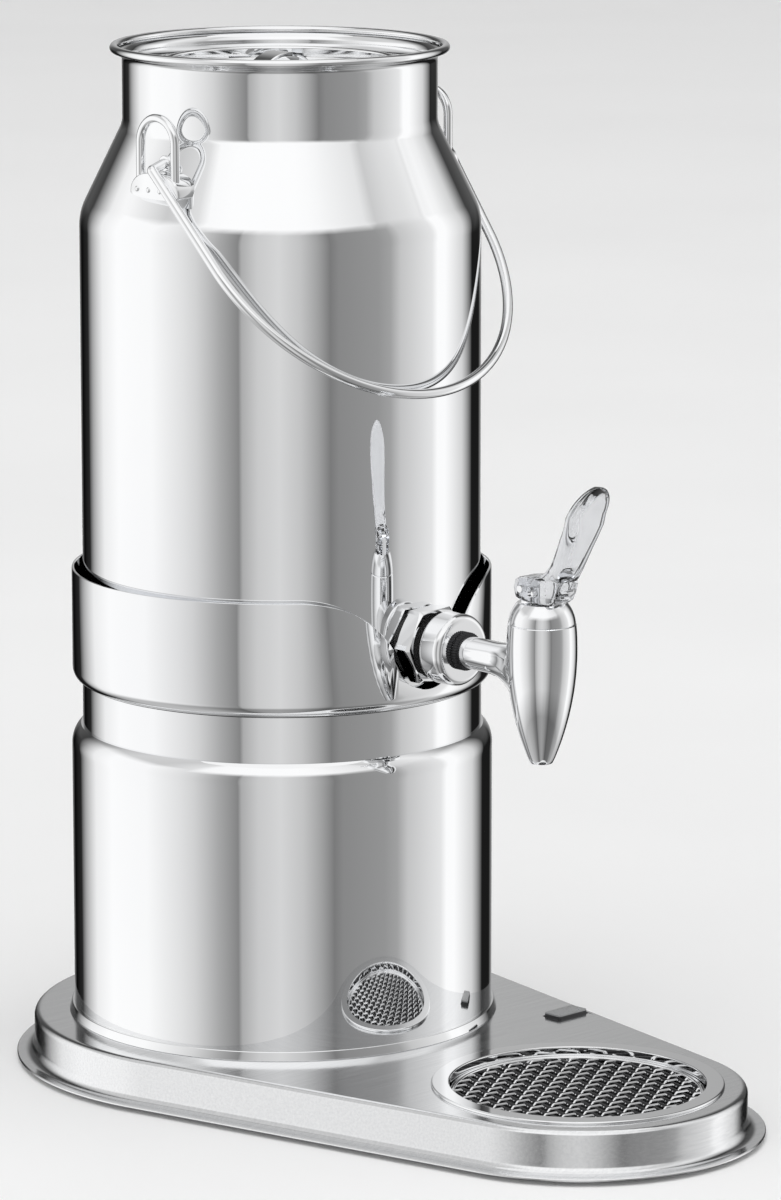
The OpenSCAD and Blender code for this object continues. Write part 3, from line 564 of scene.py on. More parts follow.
def box_shape(low: Spot, high: Spot) -> Shape:
    """A plain block between two corners, for cutting slots.

    Args:
        low: the lowest corner.
        high: the highest corner.

    Returns:
        The block.
    """
    xs, ys, zs = zip(low, high)
    points = [(x, y, z) for z in zs for y in ys for x in xs]
    return Shape(points, [(0, 2, 3, 1), (4, 5, 7, 6), (0, 1, 5, 4), (2, 6, 7, 3), (0, 4, 6, 2), (1, 3, 7, 5)])


class Workshop:
    """Makes mesh objects of shapes and puts them on the frame."""

    @staticmethod
    def mesh_object(name: str, shape: Shape, outward: bool = True) -> bpy.types.Object:
        """Makes an object at the origin from a shape.

        Args:
            name: the object's name.
            shape: points in millimetres and faces.
            outward: turns the faces of closed shells outwards.

        Returns:
            The object, linked into the scene.
        """
        mesh = bpy.data.meshes.new(name)
        mesh.from_pydata([tuple(c * MM for c in p) for p in shape.points], [], shape.faces)
        if outward:
            work = bmesh.new()
            work.from_mesh(mesh)
            bmesh.ops.remove_doubles(work, verts=work.verts, dist=WELD)
            bmesh.ops.recalc_face_normals(work, faces=work.faces)
            work.to_mesh(mesh)
            work.free()
        made = bpy.data.objects.new(name, mesh)
        bpy.context.scene.collection.objects.link(made)
        return made

    @staticmethod
    def baked(made: bpy.types.Object) -> bpy.types.Mesh:
        """Returns a plain mesh of an object with its modifiers applied."""
        return bpy.data.meshes.new_from_object(made.evaluated_get(bpy.context.evaluated_depsgraph_get()))

    @classmethod
    def fit(cls, made: bpy.types.Object, finish: Finish, body: Body, *nodes: str,
            sharp: float = SHARP_DEGREES) -> bpy.types.Object:
        """Smooths, dresses and mounts an object.

        Args:
            made: the object.
            finish: its surface.
            body: the body that it moves with.
            nodes: the CAD nodes that it stands for.
            sharp: edges above this angle in degrees stay sharp.

        Returns:
            The object.
        """
        made.data.shade_smooth()
        made.data.set_sharp_from_angle(angle=math.radians(sharp))
        made.data.materials.clear()
        made.data.materials.append(finish.material())
        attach(made, body.value)
        if nodes:
            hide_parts(*nodes)
        log.info("piece %s on %s, %d faces", made.name, body.value, len(made.data.polygons))
        return made

    @classmethod
    def piece(cls, name: str, shape: Shape, finish: Finish, body: Body, *nodes: str,
              sharp: float = SHARP_DEGREES) -> bpy.types.Object:
        """Makes a shape into a finished piece.

        Args:
            name: the piece's name.
            shape: its shape in millimetres.
            finish: its surface.
            body: the body that it moves with.
            nodes: the CAD nodes that it stands for.
            sharp: edges above this angle in degrees stay sharp.

        Returns:
            The piece.
        """
        return cls.fit(cls.mesh_object(name, shape), finish, body, *nodes, sharp=sharp)

    @classmethod
    def cut(cls, made: bpy.types.Object, away: Shape) -> None:
        """Takes a shape out of an object.

        Args:
            made: the object to change.
            away: the shape to take out.
        """
        tool = cls.mesh_object("tool", away)
        change = made.modifiers.new("change", "BOOLEAN")
        change.operation = "DIFFERENCE"
        change.solver = "EXACT"
        change.object = tool
        mesh = cls.baked(made)
        made.modifiers.clear()
        made.data = mesh
        bpy.data.objects.remove(tool)


@dataclass
class WireWeave:
    """A flat woven cloth of wires, its rows along x, clipped to an oval."""

    rows: int
    columns: int
    row_pitch: float
    column_pitch: float
    row_wire: float
    column_wire: float
    crimp: float
    column_crimp: float
    column_drop: float
    half_width: float
    half_height: float
    flatness: float = 1.0
    bias: float = 0.0
    samples: int = 12
    sides: int = 8

    INPUTS = {"NodeSocketInt": ("Rows", "Samples", "Sides"),
              "NodeSocketFloat": ("Pitch", "Reach", "Wave", "Crimp", "Phase", "Flatness", "Bias", "Wire",
                                  "Half Width", "Half Height"),
              "NodeSocketMaterial": ("Metal",)}

    @classmethod
    def tree(cls) -> bpy.types.NodeTree:
        """Makes the node tree that crimps and clips one family of wires, once.

        Returns:
            The tree.
        """
        name = "crimped_wires"
        if name in bpy.data.node_groups:
            return bpy.data.node_groups[name]
        tree = bpy.data.node_groups.new(name, "GeometryNodeTree")
        for kind, labels in cls.INPUTS.items():
            for label in labels:
                tree.interface.new_socket(name=label, in_out="INPUT", socket_type=kind)
        tree.interface.new_socket(name="Wires", in_out="OUTPUT", socket_type="NodeSocketGeometry")
        given = tree.nodes.new("NodeGroupInput")
        put = {label: given.outputs[label] for labels in cls.INPUTS.values() for label in labels}

        def feed(socket: bpy.types.NodeSocket, value: object) -> None:
            """Links another socket to an input, or sets a plain value on it.

            Args:
                socket: the input.
                value: a socket or a plain value.
            """
            if isinstance(value, bpy.types.NodeSocket):
                tree.links.new(value, socket)
            else:
                socket.default_value = value

        def node(kind: str, feeds: dict[str, object], **settings: object) -> bpy.types.NodeSocket:
            """Adds a node.

            Args:
                kind: the node's type name.
                feeds: what goes into its inputs, by name.
                settings: its own settings by name.

            Returns:
                Its first output.
            """
            made = tree.nodes.new(kind)
            for key, value in settings.items():
                setattr(made, key, value)
            for key, value in feeds.items():
                feed(made.inputs[key], value)
            return made.outputs[0]

        def calc(operation: str, *values: object) -> bpy.types.NodeSocket:
            """Adds a sum of sockets or numbers.

            Args:
                operation: the kind of sum.
                values: what goes into it, in order.

            Returns:
                The result's socket.
            """
            made = tree.nodes.new("ShaderNodeMath")
            made.operation = operation
            for socket, value in zip(made.inputs, values):
                feed(socket, value)
            return made.outputs[0]

        def vector(**parts: bpy.types.NodeSocket) -> bpy.types.NodeSocket:
            """Adds a vector with some of its parts X, Y and Z fed and returns it."""
            return node("ShaderNodeCombineXYZ", parts)

        first_y = calc("MULTIPLY", calc("MULTIPLY", calc("SUBTRACT", put["Rows"], 1.0), put["Pitch"]), -0.5)
        stack = node("GeometryNodeMeshLine", {"Count": put["Rows"], "Start Location": vector(Y=first_y),
                                              "Offset": vector(Y=put["Pitch"])}, mode="OFFSET")
        step = calc("DIVIDE", calc("MULTIPLY", put["Reach"], 2.0), calc("SUBTRACT", put["Samples"], 1.0))
        first_x = calc("MULTIPLY", put["Reach"], -1.0)
        strand = node("GeometryNodeMeshLine", {"Count": put["Samples"], "Start Location": vector(X=first_x),
                                               "Offset": vector(X=step)}, mode="OFFSET")
        wires = node("GeometryNodeInstanceOnPoints", {"Points": stack, "Instance": strand})
        wires = node("GeometryNodeRealizeInstances", {"Geometry": wires})
        apart = node("ShaderNodeSeparateXYZ", {"Vector": node("GeometryNodeInputPosition", {})}).node
        x, y = apart.outputs["X"], apart.outputs["Y"]
        row = calc("ROUND", calc("DIVIDE", calc("SUBTRACT", y, first_y), put["Pitch"]))
        swing = calc("MULTIPLY", calc("DIVIDE", x, put["Wave"]), TURN)
        swing = calc("ADD", calc("ADD", swing, calc("MULTIPLY", row, math.pi)), put["Phase"])
        wave = calc("ADD", calc("MULTIPLY", calc("COSINE", swing), put["Flatness"]), put["Bias"])
        wave = calc("MAXIMUM", calc("MINIMUM", wave, 1.0), -1.0)
        lift = vector(Z=calc("MULTIPLY", wave, put["Crimp"]))
        wires = node("GeometryNodeSetPosition", {"Geometry": wires, "Offset": lift})
        wide = calc("POWER", calc("DIVIDE", x, put["Half Width"]), 2.0)
        high = calc("POWER", calc("DIVIDE", y, put["Half Height"]), 2.0)
        outside = calc("GREATER_THAN", calc("ADD", wide, high), 1.0)
        wires = node("GeometryNodeDeleteGeometry", {"Geometry": wires, "Selection": outside}, domain="POINT")
        wires = node("GeometryNodeMeshToCurve", {"Mesh": wires})
        ring = node("GeometryNodeCurvePrimitiveCircle", {"Resolution": put["Sides"], "Radius": put["Wire"]})
        wires = node("GeometryNodeCurveToMesh", {"Curve": wires, "Profile Curve": ring, "Fill Caps": True})
        wires = node("GeometryNodeRealizeInstances", {"Geometry": wires})
        wires = node("GeometryNodeSetMaterial", {"Geometry": wires, "Material": put["Metal"]})
        tree.links.new(wires, tree.nodes.new("NodeGroupOutput").inputs[0])
        return tree

    def family(self, values: dict[str, object]) -> Shape:
        """Runs the tree for one family of wires.

        Args:
            values: the tree's inputs by name.

        Returns:
            The wires, flat about the origin.
        """
        holder = bpy.data.objects.new("weave", bpy.data.meshes.new("weave"))
        bpy.context.scene.collection.objects.link(holder)
        tree = self.tree()
        weave = holder.modifiers.new("weave", "NODES")
        weave.node_group = tree
        for item in tree.interface.items_tree:
            if item.name in values:
                weave[item.identifier] = values[item.name]
        mesh = Workshop.baked(holder)
        shape = Shape([tuple(v.co) for v in mesh.vertices], [tuple(p.vertices) for p in mesh.polygons])
        bpy.data.objects.remove(holder)
        bpy.data.meshes.remove(mesh)
        return shape

    def row_family(self, finish: Finish) -> Shape:
        """Makes the crimped wires along x.

        Args:
            finish: the wires' surface.

        Returns:
            The wires, flat about the origin.
        """
        samples = int(2 * self.half_width / self.column_pitch * self.samples)
        return self.family({
            "Sides": self.sides, "Metal": finish.material(), "Crimp": self.crimp, "Rows": self.rows,
            "Pitch": self.row_pitch, "Reach": self.half_width, "Samples": samples, "Wave": 2 * self.column_pitch,
            "Phase": 0.0, "Flatness": self.flatness, "Bias": self.bias, "Wire": self.row_wire,
            "Half Width": self.half_width, "Half Height": self.half_height})

    def column_family(self, finish: Finish) -> Shape:
        """Makes the wires that cross the rows, a little lower than them.

        Args:
            finish: the wires' surface.

        Returns:
            The wires, flat about the origin.
        """
        samples = int(2 * self.half_height / self.row_pitch * self.samples)
        meet = (self.rows - 1) // 2 + (self.columns - 1) // 2
        flat = self.family({
            "Sides": self.sides, "Metal": finish.material(), "Crimp": self.column_crimp, "Rows": self.columns,
            "Pitch": self.column_pitch, "Reach": self.half_height, "Samples": samples, "Wave": 2 * self.row_pitch,
            "Phase": math.pi * (1 + meet), "Flatness": 1.0, "Bias": 0.0, "Wire": self.column_wire,
            "Half Width": self.half_height, "Half Height": self.half_width})
        return flat.moved(lambda p: (p[1], p[0], p[2] - self.column_drop))


@dataclass
class Places:
    """Where the main axes stand, in millimetres, read from the frame."""

    can_y: float
    nose_y: float
    spout_y: float
    tap_z: float
    button: Flat

    @classmethod
    def from_frame(cls) -> "Places":
        """Reads the places off the frame's nodes.

        Returns:
            The places.
        """
        def middle(node: str, axis: int) -> float:
            """Returns the middle of a node along an axis, in millimetres."""
            low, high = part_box(node)
            return (low[axis] + high[axis]) / 2 / MM

        return cls(middle("housing_trim", 1), middle("drip_grid", 1), middle("seat_cup", 1),
                   middle("coupling_nut", 2), (middle("button_frame", 0), middle("button_frame", 1)))


@dataclass
class BasePan:
    """The pressed pan: a flat deck with a rolled edge, a skirt and a flared foot."""

    places: Places
    base_r: float = 113.5
    nose_r: float = 74.0
    deck_z: float = 22.0
    sheet: float = 1.2
    edge_round: float = 3.0
    flare_round: float = 4.5
    flange_w: float = 8.0
    foot_gap: float = 2.0
    drip_hole: float = 57.3
    button_hole: Flat = (19.4, 11.0)
    plan_step: float = 1.5
    long_run: float = 10.0
    run_shares: Spot = (0.002, 0.5, 0.998)
    deck_run: float = 1.0
    lip: float = 0.3

    def outline(self) -> list[tuple[Vector, Vector]]:
        """Draws the pan's plan, two arcs joined by straight sides.

        Returns:
            The plan's points with their outward directions.
        """
        reach = self.places.can_y - self.places.nose_y
        turn = math.degrees(math.asin((self.base_r - self.nose_r) / reach))
        ends = ((self.places.can_y, self.base_r, -turn, 180 + turn),
                (self.places.nose_y, self.nose_r, 180 + turn, 360 - turn))
        spots = []
        for y, radius, start, end in ends:
            for c, s in arc((0.0, 0.0), 1.0, start, end, int((end - start) / self.plan_step)):
                spots.append((Vector((radius * c, y + radius * s)), Vector((c, s))))
        out = []
        for here, ahead in zip(spots, spots[1:] + spots[:1]):
            out.append(here)
            if (here[0] - ahead[0]).length > self.long_run:
                out += [(here[0].lerp(ahead[0], share), here[1]) for share in self.run_shares]
        return out

    def section(self) -> list[Flat]:
        """Draws the section of the pan's edge, from the deck down and back up inside.

        Returns:
            Its points: distance out from the skirt, and height.
        """
        roll = (-self.edge_round, self.deck_z - self.edge_round)
        flare = (self.flare_round, self.foot_gap + self.sheet + self.flare_round)
        inset = -self.edge_round - self.deck_run
        top = [(inset, self.deck_z)] + arc(roll, self.edge_round, 90, 0)
        skirt = arc(flare, self.flare_round, 180, 270)
        out, low, lip = self.flange_w, self.foot_gap, self.lip
        rim = [(out - lip, low + self.sheet), (out, low + self.sheet - lip), (out, low + lip), (out - lip, low)]
        under = arc(flare, self.flare_round + self.sheet, 270, 180)
        inner = arc(roll, self.edge_round - self.sheet, 0, 90) + [(inset, self.deck_z - self.sheet)]
        return supported(top + skirt + rim + under + inner)

    def hole_loops(self) -> list[list[Flat]]:
        """Draws the deck's holes.

        Returns:
            The outlines of the drip tray's and the button's hole.
        """
        drip = arc((0.0, self.places.nose_y), self.drip_hole, 0, 360, RING_STEPS)[:-1]
        x, y = self.places.button
        w, d = self.button_hole[0] / 2, self.button_hole[1] / 2
        return [drip, [(x - w, y - d), (x + w, y - d), (x + w, y + d), (x - w, y + d)]]

    def build(self) -> None:
        """Makes the pan's skin with its deck."""
        section = self.section()
        plan = self.outline()
        made = bpy.data.meshes.new("pan_skin")
        work = bmesh.new()

        def vert(spot: Spot) -> bmesh.types.BMVert:
            """Adds a point given in millimetres."""
            return work.verts.new([c * MM for c in spot])

        loops = [[vert((*(at + out * x), z)) for at, out in plan] for x, z in section]
        count = len(plan)
        for low, high in zip(loops, loops[1:]):
            for k in range(count):
                n = (k + 1) % count
                work.faces.new((low[k], low[n], high[n], high[k]))
        holes = self.hole_loops()
        levels = []
        for edge, z in ((loops[0], self.deck_z), (loops[-1], self.deck_z - self.sheet)):
            rings = [[vert((x, y, z)) for x, y in hole] for hole in holes]
            edges = []
            for ring in [edge] + rings:
                for a, b in zip(ring, ring[1:] + ring[:1]):
                    edges.append(work.edges.get((a, b)) or work.edges.new((a, b)))
            bmesh.ops.triangle_fill(work, use_beauty=True, edges=edges)
            levels.append(rings)
        for upper, lower in zip(*levels):
            for k in range(len(upper)):
                n = (k + 1) % len(upper)
                work.faces.new((upper[k], upper[n], lower[n], lower[k]))
        bmesh.ops.recalc_face_normals(work, faces=work.faces)
        work.to_mesh(made)
        work.free()
        skin = bpy.data.objects.new("pan_skin", made)
        bpy.context.scene.collection.objects.link(skin)
        Workshop.fit(skin, SATIN_STEEL, Body.BASE, "base_plate")


@dataclass
class AirVent:
    """The oval vent at the back of the housing: a smooth ring round a bulging woven mesh."""

    places: Places
    turn: float = 180.0
    height: float = 100.0
    wall_r: float = 95.0
    half_w: float = 22.5
    half_h: float = 15.0
    ring_in: float = 1.0
    ring_out: float = 2.0
    ring_rise: float = 2.15
    bulge: float = 1.6
    ring_lift: float = 0.05
    clear: float = 0.3
    mesh_in: float = 0.9
    mesh_lift: float = 0.2

    def opens(self, angle: float, z: float) -> bool:
        """Says where the housing's wall is open.

        Args:
            angle: angle from the front, in radians.
            z: height on the wall.

        Returns:
            Whether the wall is open there.
        """
        off = (angle - math.radians(self.turn) + math.pi) % TURN - math.pi
        across = math.sin(off) * self.wall_r / (self.half_w + self.clear)
        return math.cos(off) > 0 and across ** 2 + ((z - self.height) / (self.half_h + self.clear)) ** 2 < 1

    def on_wall(self, across: float, up: float, out: float) -> Spot:
        """Lays a place of the flat vent on the turned wall.

        Args:
            across: distance across the vent.
            up: distance above its middle.
            out: distance out from the wall.

        Returns:
            The spot.
        """
        r = self.wall_r + out
        local = Vector((across, -math.sqrt(r * r - across * across), self.height + up))
        spot = Matrix.Rotation(math.radians(self.turn), 3, "Z") @ local
        return (spot.x, spot.y + self.places.can_y, spot.z)

    def ring(self) -> Shape:
        """Makes the ring, a half-round band that follows the wall.

        Returns:
            The ring's skin.
        """
        middle = (self.ring_out - self.ring_in) / 2
        half = (self.ring_out + self.ring_in) / 2
        band = [(middle + half * c, self.ring_lift + self.ring_rise * s)
                for c, s in arc((0.0, 0.0), 1.0, 180, 0, 14)]
        oval = arc((0.0, 0.0), 1.0, 0, 360, RING_STEPS)[:-1]
        return loop_skin([[self.on_wall((self.half_w + d) * c, (self.half_h + d) * s, h) for d, h in band]
                          for c, s in oval], ring=True)

    def mesh(self) -> Shape:
        """Makes the woven mesh, wrapped on the wall with its bulge.

        Returns:
            The mesh.
        """
        weave = WireWeave(rows=15, columns=23, row_pitch=1.95, column_pitch=1.95, row_wire=0.6, column_wire=0.35,
                          crimp=0.5, column_crimp=0.2, column_drop=0.45, half_width=self.half_w - self.mesh_in,
                          half_height=self.half_h - self.mesh_in, samples=6, sides=6)

        def wrap(spot: Spot) -> Spot:
            """Lays a spot of the flat cloth on the wall.

            Args:
                spot: the spot on the cloth.

            Returns:
                The spot on the wall.
            """
            x, y, z = spot
            share = (x / self.half_w) ** 2 + (y / self.half_h) ** 2
            return self.on_wall(x, y, self.mesh_lift + z + self.bulge * max(0.0, 1 - share))

        return weave.row_family(DRAWN_STEEL).add(weave.column_family(DRAWN_STEEL)).moved(wrap)

    def build(self) -> None:
        """Makes the ring and the mesh."""
        Workshop.piece("vent_ring_skin", self.ring(), MIRROR_STEEL, Body.BASE, "rear_vent_ring")
        Workshop.piece("vent_weave", self.mesh(), DRAWN_STEEL, Body.BASE, "rear_vent_mesh")


@dataclass
class CoolerHousing:
    """The polished drum with the cooler in it, its foot bead, the waist and the collar cup for the can."""

    places: Places
    vent: AirVent
    wall_r: float = 95.0
    sheet: float = 1.2
    foot_z: float = 22.0
    top_z: float = 155.0
    shoulder: float = 12.0
    shoulder_rise: float = 9.0
    lip_r: float = 60.0
    trim_w: float = 2.5
    trim_h: float = 4.0
    trim_lean: float = 1.3
    waist_r: float = 90.0
    collar_r: float = 94.5
    collar_z: float = 175.5
    collar_top: float = 227.0
    collar_round: float = 6.0
    notch_r: float = 20.2
    notch_half: float = 61.0
    wall_levels: int = 72
    seam: float = 0.05
    edge: float = 0.6
    edge_in: float = 0.15
    run_in: float = 0.4
    floor_run: float = 1.0

    def shell(self) -> Shape:
        """Makes the drum's wall with its shoulder and inner face.

        Returns:
            The wall.
        """
        turn_z = self.top_z - self.shoulder_rise
        bend = (self.wall_r - self.shoulder, turn_z)
        tip = math.degrees(math.asin(self.shoulder_rise / self.shoulder))
        levels = [self.foot_z + (turn_z - self.foot_z) * i / self.wall_levels
                  for i in range(self.wall_levels + 1)]
        outside = [(self.wall_r, z) for z in levels] + arc(bend, self.shoulder, 0, tip)[1:]
        inner_tip = math.degrees(math.asin((self.shoulder_rise - self.sheet) / (self.shoulder - self.sheet)))
        top = rounded([outside[-1], (outside[-1][0] - self.floor_run, self.top_z), (self.lip_r, self.top_z),
                       (self.lip_r, self.top_z - self.sheet)], [0, 0, 0.4, 0])
        inside = arc(bend, self.shoulder - self.sheet, inner_tip, 0)
        wall = [(self.wall_r - self.sheet, z) for z in reversed(levels)]
        return lathe(outside + top[1:] + inside + wall[1:], (0.0, self.places.can_y), hole=self.vent.opens)

    def collar_edge(self, across: float) -> float:
        """Follows the collar's top edge, which dips under the tap.

        Args:
            across: distance across the front.

        Returns:
            The edge's height there.
        """
        x = abs(across)
        tap_z = self.places.tap_z
        drop = self.collar_top - tap_z
        slope_r = ((self.notch_half - self.notch_r) ** 2 + drop ** 2) / (2 * drop)
        if x >= self.notch_half:
            return self.collar_top
        if x > self.notch_r:
            return self.collar_top - slope_r + math.sqrt(slope_r ** 2 - (self.notch_half - x) ** 2)
        return tap_z - math.sqrt(self.notch_r ** 2 - x * x)

    def collar(self) -> Shape:
        """Makes the cup round the can's foot, its edge dipping at the tap.

        Returns:
            The cup.
        """
        r, t, e = self.collar_r, self.sheet, self.edge_in
        bend = (r - self.collar_round, self.collar_z + self.collar_round)
        start = bend[0] - self.floor_run
        bottom = [(start, self.collar_z)] + arc(bend, self.collar_round, -90, 0)
        back = arc(bend, self.collar_round - t, 0, -90) + [(start, self.collar_z + t)]
        slope_steps, rest_steps = 24, 150
        run = self.notch_half - self.notch_r
        dip = [math.asin(self.notch_r / r * math.sin(math.radians(a))) for a in range(-90, 91, 4)]
        slope = [math.asin((self.notch_r + run * i / slope_steps) / r) for i in range(1, slope_steps + 1)]
        rest = [slope[-1] + (TURN - 2 * slope[-1]) * i / rest_steps for i in range(1, rest_steps)]
        low = bend[1] + self.run_in
        loops = []
        for a in dip + slope + rest + [TURN - s for s in reversed(slope)]:
            top = self.collar_edge(r * math.sin(a)) if math.cos(a) > 0 else self.collar_top
            rim = [(r, low), (r, top - self.edge), (r - e, top - e), (r - t / 2, top), (r - t + e, top - e),
                   (r - t, top - self.edge), (r - t, low)]
            loops.append([(p * math.sin(a), self.places.can_y - p * math.cos(a), z) for p, z in bottom + rim + back])
        return loop_skin(loops, ring=True)

    def build(self) -> None:
        """Makes the drum, its foot bead, the waist and the collar."""
        axis = (0.0, self.places.can_y)
        Workshop.piece("housing_skin", self.shell(), MIRROR_STEEL, Body.BASE, "housing_shell")
        out = self.wall_r + self.trim_w
        inner = self.wall_r + self.seam
        bead = rounded([(inner, self.foot_z), (out, self.foot_z), (out - self.trim_lean, self.foot_z + self.trim_h),
                        (inner, self.foot_z + self.trim_h)], [0, 0.3, 0.4, 0])
        Workshop.piece("foot_bead", lathe(bead, axis), MIRROR_STEEL, Body.BASE, "housing_trim")
        waist = supported([(self.waist_r, self.top_z), (self.waist_r, self.collar_z),
                           (self.waist_r - self.sheet, self.collar_z), (self.waist_r - self.sheet, self.top_z)])
        Workshop.piece("waist_skin", lathe(waist, axis), MIRROR_STEEL, Body.BASE, "waist_ring")
        Workshop.piece("collar_skin", self.collar(), MIRROR_STEEL, Body.BASE, "collar_cup")


@dataclass
class DripTray:
    """The lift-out cup with its raised ring, and the woven grid that lies in it."""

    places: Places
    ring_r: float = 64.0
    wall_r: float = 57.0
    sheet: float = 1.0
    deck_z: float = 22.0
    ring_h: float = 1.2
    floor_z: float = 7.1
    grid_low: float = 15.8
    grid_top: float = 19.4
    grid_r: float = 55.7
    rim_w: float = 2.4
    ledge_w: float = 3.0
    weave_turn: float = -14.0

    def build(self) -> None:
        """Makes the cup, the grid's rim and its weave."""
        axis = (0.0, self.places.nose_y)
        top = self.deck_z + self.ring_h
        inner = self.wall_r - self.sheet
        ledge = inner - self.ledge_w
        cup = rounded([(0.0, self.floor_z), (self.wall_r, self.floor_z), (self.wall_r, self.deck_z),
                       (self.ring_r, self.deck_z), (self.ring_r, top), (inner, top),
                       (inner, self.grid_low), (ledge, self.grid_low), (ledge, self.grid_low - self.sheet)],
                      [0, 1.5, 0, 0.2, 0.8, 0.6, 0, 0.3, 0])
        well = rounded([(ledge, self.grid_low - self.sheet), (inner, self.grid_low - self.sheet),
                        (inner, self.floor_z + self.sheet), (0.0, self.floor_z + self.sheet)], [0, 0, 0.9, 0])
        Workshop.piece("drip_cup_skin", lathe(supported(cup), axis, closed=False), MIRROR_STEEL,
                       Body.DRIP_CUP, "drip_cup")
        # The well under the grid is dressed near-black steel: painted shade, for the hollow that no light reaches under
        # the weave.
        Workshop.piece("drip_well", lathe(supported(well), axis, closed=False), SHADE_PAINTED_STEEL, Body.DRIP_CUP)
        rim = rounded([(self.grid_r - self.rim_w, self.grid_low), (self.grid_r, self.grid_low),
                       (self.grid_r, self.grid_top), (self.grid_r - self.rim_w, self.grid_top),
                       (self.grid_r - self.rim_w, self.grid_low)], [0, 0.5, 0.9, 0.9, 0])
        half = self.grid_r - self.rim_w / 2
        middle = (self.grid_low + self.grid_top) / 2
        weave = WireWeave(rows=19, columns=19, row_pitch=5.7, column_pitch=5.6, row_wire=0.62, column_wire=1.1,
                          crimp=0.65, column_crimp=0.0, column_drop=0.5, half_width=half, half_height=half,
                          flatness=3.5, bias=0.8, samples=16, sides=10)
        seat = Matrix.Translation((0.0, self.places.nose_y, middle))
        seat = seat @ Matrix.Rotation(math.radians(self.weave_turn), 4, "Z")
        rows = weave.row_family(DRAWN_STEEL).placed(seat)
        Workshop.piece("drip_weave", lathe(rim[:-1], axis, RING_STEPS).add(rows), DRAWN_STEEL, Body.DRIP_GRID,
                       "drip_grid")
        # The crossing bars are near-black steel: painted shade, so the bright rows show as dashes over shaded troughs.
        Workshop.piece("drip_bars", weave.column_family(SHADE_PAINTED_STEEL).placed(seat), SHADE_PAINTED_STEEL, Body.DRIP_GRID)


